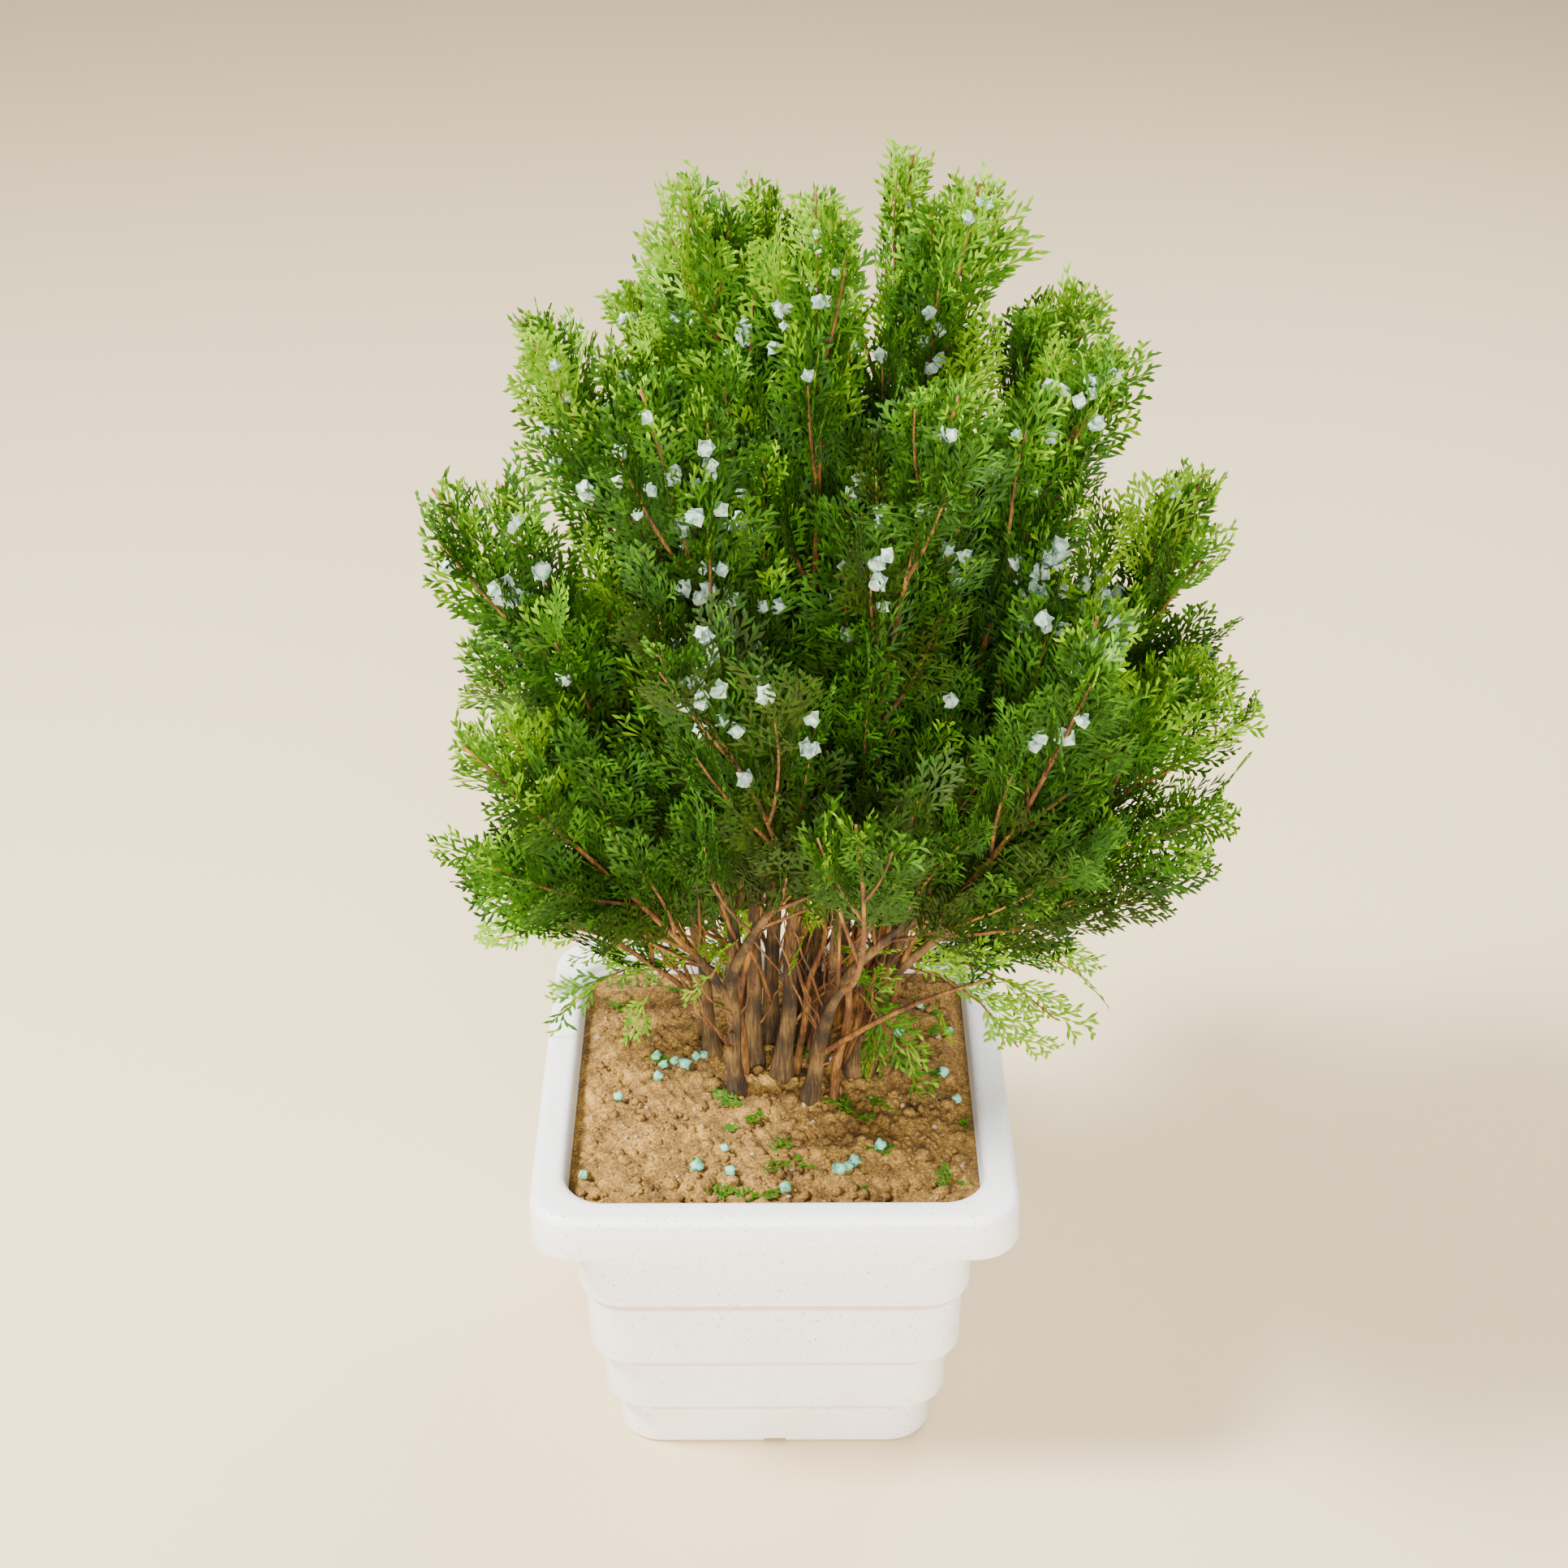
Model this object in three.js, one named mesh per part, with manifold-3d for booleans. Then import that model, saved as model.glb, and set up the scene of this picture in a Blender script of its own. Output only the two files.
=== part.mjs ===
// A potted oriental arborvitae: a clump of upright stems in a square stepped plastic pot. The inner stems
// and the outer ones each end in a plume of foliage, thin boughs fork from the outer stems to the plumes of
// the flank, and low twigs carry a skirt. Flat, toothed, fan-like sprays, some with a cone on them, stand out
// of every plume on edge.
// Units are millimetres, +Z is up, and the origin is the centre of the pot's underside.
import * as THREE from "three";
import { mergeVertices } from "three/addons/utils/BufferGeometryUtils.js";
import Module from "manifold-3d";

const wasm = await Module();
wasm.setup();

// ---- Sizes of the pot ----
const POT_WIDTH = 300; // outside of the rim
const POT_HEIGHT = 230;
const RIM_HEIGHT = 31; // height of the turned-down lip
const RIM_OPENING = 257; // inside of the rim
const RIM_ROUND = 6; // radius of the rim's top edges
const RIM_HOLLOW = 8; // depth of the groove between the lip and the body
const RIM_DRAFT = 1; // how far the lip leans in
const WALL = 3.5;
// The four steps of the body from the top down: outside width at its top, and height of its lower edge.
const STEPS = [
  { width: 250, bottom: 136 },
  { width: 241, bottom: 84 },
  { width: 225, bottom: 38 },
  { width: 208, bottom: 0 },
];
const STEP_TUCK = 5; // how far a step's lower edge rolls in
const STEP_DRAFT = 1.5; // how far a step's straight wall leans in
const ROUNDING = 0.3; // where the middle point of a rounded edge lies, as a share of its radius
const OUTSIDE_CORNER = 28; // radius of the upright corners
const INSIDE_CORNER = 24;
const CORNER_POINTS = 5; // points on each rounded corner of a ring
// A drain groove with a hole in it runs under the floor from near its middle out to each side.
const GROOVE_WIDTH = 14;
const GROOVE_DEPTH = 4;
const GROOVE_START = 35; // distance of its inner end from the middle
const FLOOR = GROOVE_DEPTH + WALL; // level of the floor inside
const DRAIN_RADIUS = 6;
const DRAIN_REACH = 45; // distance of the holes from the middle
const DRAIN_SIDES = 10;

// ---- Sizes of the soil ----
const SOIL_TOP = 222; // level of the soil round the stems
const SOIL_EDGE = 215; // level of the soil at the pot's wall
// Rings of the soil's surface from the wall inwards: shares of its width and rise, and height of its lumps.
const SOIL_RINGS = [
  { share: 0.93, rise: 0.2, lump: 1.6 },
  { share: 0.8, rise: 0.5, lump: 2.2 },
  { share: 0.68, rise: 0.85, lump: 1.2 },
  { share: 0.58, rise: 1, lump: 0 },
];

// ---- Sizes of the limbs ----
const CLUMP = [8, 26]; // middle of the stems' feet
const CROWN = [28, 12]; // middle of the crown
const STEMS = {
  top: { footReach: 22, footRadius: 6.5, endRadius: 2.6 },
  shoulder: { footReach: 48, footRadius: 6, endRadius: 2.4 },
};
const STEM_BEND = [0.52, 0.46]; // how far out and up a stem has come where it bends
const STEM_PLACES = [0, 0.03, 0.1, 0.24, 0.42, 0.62, 0.82, 1]; // places of a stem's rings from foot to end
const STEM_SIDES = 6;
const ROOT_FLARE = 0.7; // how much wider a stem is where it meets the soil
const FLARE_REACH = 0.045; // stretch of a stem over which its flare fades
const BOUGH = { forkShare: 0.54, rootRadius: 3.4, endRadius: 2.2, sides: 5, steps: 4 };
const BOUGH_BEND = [0.55, 0.12]; // where a bough bends, and how far it rises there over its straight line
const TWIG = 2.2; // radius of a twig that grows straight from a stem
const TWIG_END = 0.9; // radius of every mass's leader at its tip
const TWIG_ARCH = 14; // rise of such a twig over the straight line to its tip

// ---- Sizes of the foliage ----
// Four storeys of masses. Reach is measured from the crown's middle line, the skirt's from the clump's, and
// height from the soil. A mass starts at the reach and height of base, where its limb ends, and runs to those
// of tip. First and step are directions in degrees, and plume and spray the largest reach of a plume's teeth
// and length of a spray.
const STOREYS = {
  top: { size: 5, first: 195, step: 72, base: [42, 360], tip: [82, 606], plume: 66, spray: 84 },
  shoulder: { size: 7, first: 232, step: 51.4, base: [88, 282], tip: [166, 530], plume: 86, spray: 88 },
  flank: { size: 12, first: 247, step: 30, base: [98, 180], tip: [226, 424], plume: 86, spray: 90 },
  skirt: { size: 5, first: 307, step: 60, base: [0, 38], tip: [196, 172], plume: 66, spray: 84 },
};
const FLANK_DROP = 100; // how much lower every other tip of the flank is
const LOW_BASE = 0.45; // share of that drop that the mass's base has too
// Ranges of the sways: shares of the sizes above for the bases and tips, and degrees for the directions.
const TURN_SWAY = [-6, 6];
const TIP_TURN_SWAY = [-5, 5];
const BASE_SWAY = [0.95, 1.05];
const TIP_SWAY = [0.98, 1.02];
const BACK_FALL = 0.3; // how much lower the crown is for each millimetre further back
const MASS_GAP = 6; // least gap between the points of two masses
const LIMB_GAP = 4; // least gap between a spray and the bark of a limb
const LEADER_BEND = 0.4; // share of its length over which a leader keeps its limb's direction
const FINS = 5;
const FIN_SIZES = [0.75, 1.1]; // range of the fins' sizes as shares of the plume's
const TEETH = [0.66, 1, 0.9, 0.55]; // sizes of a fin's teeth from the root up, as shares of the fin's
const TOOTH_SPAN = [0.14, 0.88]; // stretch of the leader that the teeth stand on
const TOOTH_LEAN = 0.4; // how far a tooth points forwards, as a share of its stretch
const NOTCH = 0.5; // depth of the notch before a tooth, as a share of the tooth
const VALLEY = 0.22; // how far out the plume goes between its fins
const NECK = 0.24; // size of the plume above its last tooth
// Shares of its reach at which a point of a fin is tried.
const POINT_TRIES = [1, 0.9, 0.8, 0.7, 0.6, 0.5, 0.4, 0.3, 0.2, 0.1];
const SPRAY_SPAN = [0.3, 0.7]; // places on the leader of a mass's first and last spray
const SPRAYS = 3; // sprays of a mass
const SPRAY_ANGLES = [38, 54]; // range of the angles between a spray and the leader
const SPRAY_CLOSING = 16; // by how much the angle is less at the leader's end
const SPRAY_LIFT = 0.2; // how much a spray turns up
const SPRAY_TILT = [-50, 50]; // range of a spray's turns about its own line, from standing on edge
const SPRAY_SIZES = [0.92, 1.08]; // range of the sprays' sizes as shares of the storey's
const SPRAY_LESSENING = 0.3; // by how much sprays are smaller at the leader's end
const SPRAY_ROOT = 0.09; // distance of a spray's root from the leader, as a share of the plume's size
const SPRAY_WIDTH = 0.28; // half a spray's width as a share of its length
const SPRAY_THICKNESS = 0.9; // half a spray's thickness at its ribs
const SPRAY_TRIES = [1, 0.82, 0.66]; // shares of its size at which a spray is tried
const TURN_TRIES = 5; // directions in which a spray is tried before it is left out
const TRY_TURN = 67; // turn in degrees from one try to the next
const GOLDEN_ANGLE = 137.5;
const CONES = { top: 1, shoulder: 2, flank: 2, skirt: 0 }; // sprays of a mass that carry a cone
const CONE_RADIUS = 8;
const CONE_PLACE = 0.34; // place of a cone along its spray
// Points that stand for a spray when it is tested: rows along it and places across them. Its width grows
// and lessens at these rates along its length.
const PROBE_ROWS = 10;
const PROBE_SIDES = [-1, -0.5, 0, 0.5, 1];
const PROBE_GROWTH = 2.4;
const PROBE_LESSENING = 3;

const TOUCH = 0.3; // gap between solids that touch
const SLIVER = 0.3; // edges shorter than this are closed up after a join
const WELD = 1e-4; // points nearer than this are one
const TEST_PIECES = 10; // straight pieces that stand for a limb when its distance is tested

const FINISHES = {
  pot: { color: 0xf2f0ee, roughness: 0.45 },
  soil: { color: 0x9a7a4c, roughness: 0.95 },
  bark: { color: 0x6f4b33, roughness: 0.85 },
  foliage: { color: 0x3f8a24, roughness: 0.6 },
};

const rad = THREE.MathUtils.degToRad;
const UP = new THREE.Vector3(0, 0, 1);
const count = (size) => [...Array(size).keys()];

// Draws numbers between low and high, always the same ones for the same seed.
function seededDraw(seed) {
  let state = seed;
  const draw = (low, high) => {
    state = (state * 1664525 + 1013904223) % 4294967296;
    return low + ((high - low) * state) / 4294967296;
  };
  draw(0, 1);
  draw(0, 1);
  return draw;
}

// ---- Meshes and solids ----

// Joins rings of points, all with the same count, into a closed surface with a fan over each end.
function loft(rings) {
  const size = rings[0].length;
  const points = rings.flat();
  const faces = [];
  for (const ring of count(rings.length - 1)) {
    for (const k of count(size)) {
      const a = ring * size + k;
      const b = ring * size + ((k + 1) % size);
      faces.push(a, b, b + size, a, b + size, a + size);
    }
  }
  const closeEnd = (ring, turned) => {
    const middle = new THREE.Vector3();
    rings[ring].forEach((p) => middle.addScaledVector(p, 1 / size));
    points.push(middle);
    for (const k of count(size)) {
      const a = ring * size + k;
      const b = ring * size + ((k + 1) % size);
      faces.push(points.length - 1, turned ? b : a, turned ? a : b);
    }
  };
  closeEnd(0, true);
  closeEnd(rings.length - 1, false);
  return new THREE.BufferGeometry().setFromPoints(points).setIndex(faces);
}

function toSolid(geometry) {
  geometry.deleteAttribute("normal");
  geometry.deleteAttribute("uv");
  const merged = mergeVertices(geometry, WELD);
  const vertProperties = merged.attributes.position.array;
  const triVerts = new Uint32Array(merged.index.array);
  return new wasm.Manifold(new wasm.Mesh({ numProp: 3, vertProperties, triVerts }));
}

// The largest closed skin of a solid, so that sealed hollows are filled and loose scraps dropped.
function wholePiece(solid) {
  return solid.decompose().reduce((best, skin) => (skin.volume() > best.volume() ? skin : best));
}

function toGeometry(solid) {
  const mesh = solid.getMesh();
  const geometry = new THREE.BufferGeometry();
  geometry.setAttribute("position", new THREE.BufferAttribute(mesh.vertProperties, 3));
  geometry.setIndex(new THREE.BufferAttribute(mesh.triVerts, 1));
  geometry.computeVertexNormals();
  return geometry;
}

// ---- The pot and its soil ----

// A level ring in the shape of a square with rounded corners, from its half width and height.
function squareRing(half, corner, z) {
  return count(4).flatMap((quarter) => {
    const turn = (quarter * Math.PI) / 2;
    const middle = new THREE.Vector3(half - corner, half - corner, z).applyAxisAngle(UP, turn);
    return count(CORNER_POINTS).map((k) => {
      const angle = turn + (k * Math.PI) / 2 / (CORNER_POINTS - 1);
      return new THREE.Vector3(Math.cos(angle), Math.sin(angle), 0).multiplyScalar(corner).add(middle);
    });
  });
}

// Half widths and heights of the lining, from the floor up to the rim.
const liningAt = ({ width }, z) => [width / 2 - STEP_TUCK - WALL, z];
const LINING = [
  liningAt(STEPS[3], FLOOR),
  ...[2, 1, 0].map((k) => liningAt(STEPS[k], STEPS[k].bottom + STEP_TUCK)),
  [STEPS[0].width / 2 - WALL, POT_HEIGHT - RIM_HEIGHT],
  [RIM_OPENING / 2, POT_HEIGHT - RIM_ROUND],
];

// Half widths and heights of one step's outside, from its tucked lower edge up to its top.
function stepOutline({ width, bottom }, top) {
  const half = width / 2;
  return [
    [half - STEP_TUCK, bottom],
    [half - STEP_DRAFT - STEP_TUCK * ROUNDING, bottom + STEP_TUCK * ROUNDING * 2],
    [half - STEP_DRAFT, bottom + STEP_TUCK * 2],
    [half, top],
  ];
}

// Half widths and heights of the rim, from the groove under it over the top to the opening.
function rimOutline() {
  const [outer, inner, under] = [POT_WIDTH / 2, RIM_OPENING / 2, POT_HEIGHT - RIM_HEIGHT];
  return [
    [outer - WALL, under + RIM_HOLLOW],
    [outer - WALL, under],
    [outer, under],
    [outer - RIM_DRAFT, POT_HEIGHT - RIM_ROUND],
    [outer - RIM_DRAFT - RIM_ROUND * ROUNDING, POT_HEIGHT - RIM_ROUND * ROUNDING],
    [outer - RIM_DRAFT - RIM_ROUND, POT_HEIGHT],
    [inner + RIM_ROUND, POT_HEIGHT],
    [inner + RIM_ROUND * ROUNDING, POT_HEIGHT - RIM_ROUND * ROUNDING],
  ];
}

// The groove in the floor's underside that runs out along a direction in degrees, and the drain hole in it.
function drainSolids(degrees) {
  const length = POT_WIDTH / 2 - GROOVE_START;
  const groove = new THREE.BoxGeometry(length, GROOVE_WIDTH, 2 * GROOVE_DEPTH);
  groove.translate(GROOVE_START + length / 2, 0, 0);
  const hole = new THREE.CylinderGeometry(DRAIN_RADIUS, DRAIN_RADIUS, 3 * FLOOR, DRAIN_SIDES);
  hole.rotateX(rad(90)).translate(DRAIN_REACH, 0, 0);
  return [groove, hole].map((geometry) => toSolid(geometry.rotateZ(rad(degrees))));
}

function potSolid() {
  const tops = [POT_HEIGHT - RIM_HEIGHT + RIM_HOLLOW, ...STEPS.map(({ bottom }) => bottom)];
  const body = STEPS.map((step, k) => stepOutline(step, tops[k])).reverse().flat();
  const skin = [...body, ...rimOutline()].map(([half, z]) => squareRing(half, OUTSIDE_CORNER, z));
  const lining = LINING.map(([half, z]) => squareRing(half, INSIDE_CORNER, z)).reverse();
  const cuts = wasm.Manifold.union([0, 90, 180, 270].flatMap(drainSolids));
  return toSolid(loft([...skin, ...lining])).subtract(cuts);
}

// The soil fills the pot to just below the rim. It is level round the stems and falls in lumps to the wall.
function soilSolid() {
  const draw = seededDraw(7);
  const below = LINING.filter(([, z]) => z < SOIL_EDGE);
  const [[half, z], [nextHalf, nextZ]] = [below.at(-1), LINING[below.length]];
  const edge = half + ((nextHalf - half) * (SOIL_EDGE - z)) / (nextZ - z) - TOUCH;
  const corner = INSIDE_CORNER - TOUCH;
  const [floor, ...wall] = below;
  const rings = [squareRing(floor[0] - TOUCH, corner, floor[1] + TOUCH)];
  rings.push(...wall.map(([wallHalf, wallZ]) => squareRing(wallHalf - TOUCH, corner, wallZ)));
  rings.push(squareRing(edge, corner, SOIL_EDGE));
  for (const { share, rise, lump } of SOIL_RINGS) {
    const ring = squareRing(edge * share, corner, SOIL_EDGE + (SOIL_TOP - SOIL_EDGE) * rise);
    ring.forEach((p) => (p.z += draw(-lump, lump)));
    rings.push(ring);
  }
  return toSolid(loft(rings));
}

// ---- Limbs ----

// A direction square to an axis, turned by degrees about it from the side that lies nearest to +X.
function spokeRound(axis, degrees) {
  const side = new THREE.Vector3(1, 0, 0).addScaledVector(axis, -axis.x).normalize();
  return side.applyAxisAngle(axis, rad(degrees));
}

function circleRing(middle, axis, radius, sides) {
  const spokes = count(sides).map((k) => spokeRound(axis, (360 * k) / sides));
  return spokes.map((spoke) => spoke.multiplyScalar(radius).add(middle));
}

// A limb is a curve with a radius that tapers evenly from its start to its end.
function limb(from, bend, to, startRadius, endRadius) {
  return { curve: new THREE.QuadraticBezierCurve3(from, bend, to), startRadius, endRadius };
}

const radiusAt = ({ startRadius, endRadius }, t) => startRadius + (endRadius - startRadius) * t;

// A stem, grown by a margin, with its root flare and its foot cut level.
function stemSolid(stem, margin) {
  const rings = STEM_PLACES.map((t) => {
    const flare = 1 + ROOT_FLARE * Math.exp(-t / FLARE_REACH);
    const axis = t === 0 ? UP : stem.curve.getTangent(t);
    return circleRing(stem.curve.getPoint(t), axis, radiusAt(stem, t) * flare + margin, STEM_SIDES);
  });
  return toSolid(loft(rings));
}

// A bough, cut clear of the stem that carries it.
function boughSolid(bough) {
  const { sides, steps } = BOUGH;
  const rings = count(steps + 1).map((k) => {
    const t = k / steps;
    return circleRing(bough.curve.getPoint(t), bough.curve.getTangent(t), radiusAt(bough, t), sides);
  });
  return wholePiece(toSolid(loft(rings)).subtract(stemSolid(bough.carrier, TOUCH)));
}

// The place at a direction in degrees, a reach from a middle line and a height over the soil.
function placeAt([x, y], degrees, reach, height) {
  const level = new THREE.Vector3(reach, 0, 0).applyAxisAngle(UP, rad(degrees));
  return level.add(new THREE.Vector3(x, y, SOIL_TOP + TOUCH + height));
}

// A mass of a storey, with its direction, the end of its limb and its furthest tip.
function layOutMass(storey, number, seed) {
  const { first, step, base, tip } = STOREYS[storey];
  const draw = seededDraw(seed);
  const turn = first + step * number + draw(...TURN_SWAY);
  const centre = storey === "skirt" ? CLUMP : CROWN;
  const drop = storey === "flank" && number % 2 === 1 ? FLANK_DROP : 0;
  const baseReach = base[0] * draw(...BASE_SWAY);
  const baseHeight = base[1] * draw(...BASE_SWAY) - drop * LOW_BASE;
  const tipReach = tip[0] * draw(...BASE_SWAY);
  const tipHeight = (tip[1] - drop) * draw(...TIP_SWAY);
  const end = placeAt(centre, turn + draw(...TIP_TURN_SWAY), tipReach, tipHeight);
  end.z -= BACK_FALL * Math.max(0, end.y);
  const start = placeAt(centre, turn, baseReach, baseHeight);
  return { name: `${storey}_${number + 1}`, storey, turn, base: start, tip: end, draw };
}

// The stem of a mass in an upper storey leaves the soil near the clump's middle and leans out to the mass.
function stemOf({ name, storey, turn, base }) {
  const { footReach, footRadius, endRadius } = STEMS[storey];
  const foot = placeAt(CLUMP, turn, footReach, 0);
  const bend = foot.clone().lerp(base, STEM_BEND[0]);
  bend.z = foot.z + (base.z - foot.z) * STEM_BEND[1];
  return { ...limb(foot, bend, base, footRadius, endRadius), name: `stem_${name}`, turn };
}

// The stem of a list that leans most nearly the way of a mass.
function nearestStem(mass, stems) {
  const apart = ({ turn }) => Math.abs(((mass.turn - turn + 540) % 360) - 180);
  return stems.reduce((best, stem) => (apart(stem) < apart(best) ? stem : best));
}

function pointAtHeight({ curve }, z) {
  let t = 0;
  while (curve.getPoint(t).z < z) t += 0.01;
  return curve.getPoint(t);
}

// The bough of a mass in the flank forks from a stem, lower down for a lower mass.
function boughOf(mass, stems) {
  const { forkShare, rootRadius, endRadius } = BOUGH;
  const carrier = nearestStem(mass, stems);
  const root = pointAtHeight(carrier, SOIL_TOP + forkShare * (mass.base.z - SOIL_TOP));
  const bend = root.clone().lerp(mass.base, BOUGH_BEND[0]);
  bend.z += (mass.base.z - root.z) * BOUGH_BEND[1];
  return { ...limb(root, bend, mass.base, rootRadius, endRadius), name: `bough_${mass.name}`, carrier };
}

// Gives each mass its limb, or the stem that it grows straight from, and returns all the limbs.
function layOutLimbs(masses) {
  const inStorey = (...names) => masses.filter(({ storey }) => names.includes(storey));
  inStorey("top", "shoulder").forEach((mass) => (mass.limb = stemOf(mass)));
  const outer = inStorey("shoulder").map((mass) => mass.limb);
  inStorey("flank").forEach((mass) => (mass.limb = boughOf(mass, outer)));
  for (const mass of inStorey("skirt")) {
    mass.carrier = nearestStem(mass, outer);
    mass.base = pointAtHeight(mass.carrier, mass.base.z);
  }
  return inStorey("top", "shoulder", "flank").map((mass) => mass.limb);
}

// ---- Foliage ----

// Whether points lie in a mass's own space: nearer its middle line than any other mass's.
function inOwnSpace(points, mass, masses) {
  const near = new THREE.Vector3();
  const apart = (p, { line }) => line.closestPointToPoint(p, true, near).distanceTo(p);
  return points.every((p) => {
    const own = apart(p, mass) + MASS_GAP;
    return masses.every((other) => other === mass || apart(p, other) > own);
  });
}

function clearOfLimbs(points, limbs) {
  const near = new THREE.Vector3();
  return limbs.every((item) => {
    const line = item.curve.getPoints(TEST_PIECES);
    return line.slice(1).every((end, k) => {
      const piece = new THREE.Line3(line[k], end);
      const reach = radiusAt(item, k / TEST_PIECES) + LIMB_GAP;
      return points.every((p) => piece.closestPointToPoint(p, true, near).distanceTo(p) > reach);
    });
  });
}

// The leader of a mass grows on from its limb's end, or out of the stem that carries it.
function leaderOf({ base, tip, limb: bearer }) {
  if (!bearer) {
    const bend = base.clone().lerp(tip, 0.5).addScaledVector(UP, TWIG_ARCH);
    return limb(base, bend, tip, TWIG, TWIG_END);
  }
  const onward = bearer.curve.getTangent(1);
  const start = base.clone().addScaledVector(onward, TOUCH);
  const bend = start.clone().addScaledVector(onward, start.distanceTo(tip) * LEADER_BEND);
  return limb(start, bend, tip, bearer.endRadius, TWIG_END);
}

// The plume along a leader: toothed fins that stand round it like the feathers of an arrow. Its rings are
// stars, and a tooth's tip lies further along than the valleys beside it, so that the teeth point forwards.
// Each point goes out as far as its space allows.
function plumeGeometry(leader, size, draw, fits) {
  const finSizes = count(FINS).map(() => draw(...FIN_SIZES));
  const roll = draw(0, 360 / FINS);
  const starAt = (t, lean, share) =>
    count(2 * FINS).map((k) => {
      const onFin = k % 2 === 0;
      const along = onFin ? t + lean : t;
      const reach = size * share * (onFin ? finSizes[k / 2] : VALLEY);
      const spoke = spokeRound(leader.curve.getTangent(along), roll + (180 * k) / FINS);
      const middle = leader.curve.getPoint(along);
      const place = (out) => middle.clone().addScaledVector(spoke, radiusAt(leader, t) + reach * out);
      return POINT_TRIES.map(place).find((p) => fits([p])) ?? place(0);
    });
  const [from, to] = TOOTH_SPAN;
  const step = (to - from) / TEETH.length;
  const rings = [starAt(0, 0, 0), starAt(from, 0, 0)];
  TEETH.forEach((share, k) => {
    if (k > 0) rings.push(starAt(from + step * k, 0, share * NOTCH));
    rings.push(starAt(from + step * (k + 0.5), step * TOOTH_LEAN, share));
  });
  rings.push(starAt(to, 0, NECK), starAt(1, 0, 0));
  return loft(rings);
}

// Half the outline of a toothed spray one unit long and wide, from its root to its last notch. The ribs are
// the highest points of its two faces, and from the change on the second rib is joined to the outline.
const SPRAY_OUTLINE = [
  [0, 0.05],
  [0.22, 0.05],
  [0.48, 0.86],
  [0.42, 0.17],
  [0.72, 1],
  [0.64, 0.16],
  [0.92, 0.66],
  [0.84, 0.12],
];
const SPRAY_RIBS = [0.3, 0.58];
const RIB_CHANGE = 3;

// A spray from its root, along a direction, with its flat side facing a normal. It is ribbed on both faces.
function sprayGeometry({ root, along, normal, length }) {
  const across = new THREE.Vector3().crossVectors(normal, along).multiplyScalar(SPRAY_WIDTH * length);
  const place = (x, side, height) => {
    const p = root.clone().addScaledVector(along, x * length);
    return p.addScaledVector(across, side).addScaledVector(normal, height);
  };
  const size = SPRAY_OUTLINE.length;
  const tip = 2 * size;
  const points = [1, -1].flatMap((side) => SPRAY_OUTLINE.map(([x, half]) => place(x, side * half, 0)));
  points.push(place(1, 0, 0));
  points.push(...[1, -1].flatMap((face) => SPRAY_RIBS.map((x) => place(x, 0, face * SPRAY_THICKNESS))));
  const faces = [];
  for (const under of [false, true]) {
    const rib = tip + (under ? 3 : 1);
    const add = (a, b, c, turned) => faces.push(a, ...(turned === under ? [c, b] : [b, c]));
    for (const mirrored of [false, true]) {
      const chain = count(size).map((k) => (mirrored ? size : 0) + k).concat(tip);
      for (const k of count(size)) add(k < RIB_CHANGE ? rib : rib + 1, chain[k], chain[k + 1], mirrored);
      add(rib, chain[RIB_CHANGE], rib + 1, mirrored);
    }
    add(rib, size, 0, false);
  }
  return new THREE.BufferGeometry().setFromPoints(points).setIndex(faces);
}

// Points spread over a spray and the cone on it, to test what they would touch.
function sprayProbes({ root, along, normal, length }) {
  const across = new THREE.Vector3().crossVectors(normal, along).multiplyScalar(SPRAY_WIDTH * length);
  const cone = root.clone().addScaledVector(along, length * CONE_PLACE);
  const coneSides = [-1, 1].map((side) => cone.clone().addScaledVector(normal, side * CONE_RADIUS));
  const blade = count(PROBE_ROWS).flatMap((row) => {
    const x = (row + 1) / PROBE_ROWS;
    const half = Math.min(1, x * PROBE_GROWTH, (1 + 1 / PROBE_ROWS - x) * PROBE_LESSENING);
    const middle = root.clone().addScaledVector(along, x * length);
    return PROBE_SIDES.map((side) => middle.clone().addScaledVector(across, side * half));
  });
  return [...blade, ...coneSides];
}

function coneGeometry({ root, along, length }) {
  const { x, y, z } = root.clone().addScaledVector(along, length * CONE_PLACE);
  return new THREE.OctahedronGeometry(CONE_RADIUS).translate(x, y, z);
}

// A direction that leaves an axis at an angle, on the side given by a turn about the axis.
function branchFrom(axis, turn, angle) {
  const side = spokeRound(axis, turn);
  return axis.clone().multiplyScalar(Math.cos(rad(angle))).addScaledVector(side, Math.sin(rad(angle)));
}

// The side that a spray turns its flat to: it stands on edge, turned a little about its own line.
function flatSide(along, turn) {
  const level = new THREE.Vector3().crossVectors(along, UP).normalize();
  return level.applyAxisAngle(along, rad(turn));
}

// A spray on a mass's leader, in the first of several directions and sizes in which it fits, or nothing.
function findSpray(leader, t, firstTurn, mass, fits) {
  const { plume, spray } = STOREYS[mass.storey];
  for (const attempt of count(TURN_TRIES)) {
    const angle = mass.draw(...SPRAY_ANGLES) - SPRAY_CLOSING * t;
    const along = branchFrom(leader.curve.getTangent(t), firstTurn + attempt * TRY_TURN, angle);
    along.addScaledVector(UP, SPRAY_LIFT).normalize();
    const root = leader.curve.getPoint(t).addScaledVector(along, plume * SPRAY_ROOT);
    const normal = flatSide(along, mass.draw(...SPRAY_TILT));
    const size = spray * (1 - SPRAY_LESSENING * t) * mass.draw(...SPRAY_SIZES);
    const shapes = SPRAY_TRIES.map((share) => ({ root, along, normal, length: size * share }));
    const fitting = shapes.find((shape) => fits(sprayProbes(shape)));
    if (fitting) return fitting;
  }
  return null;
}

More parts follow.
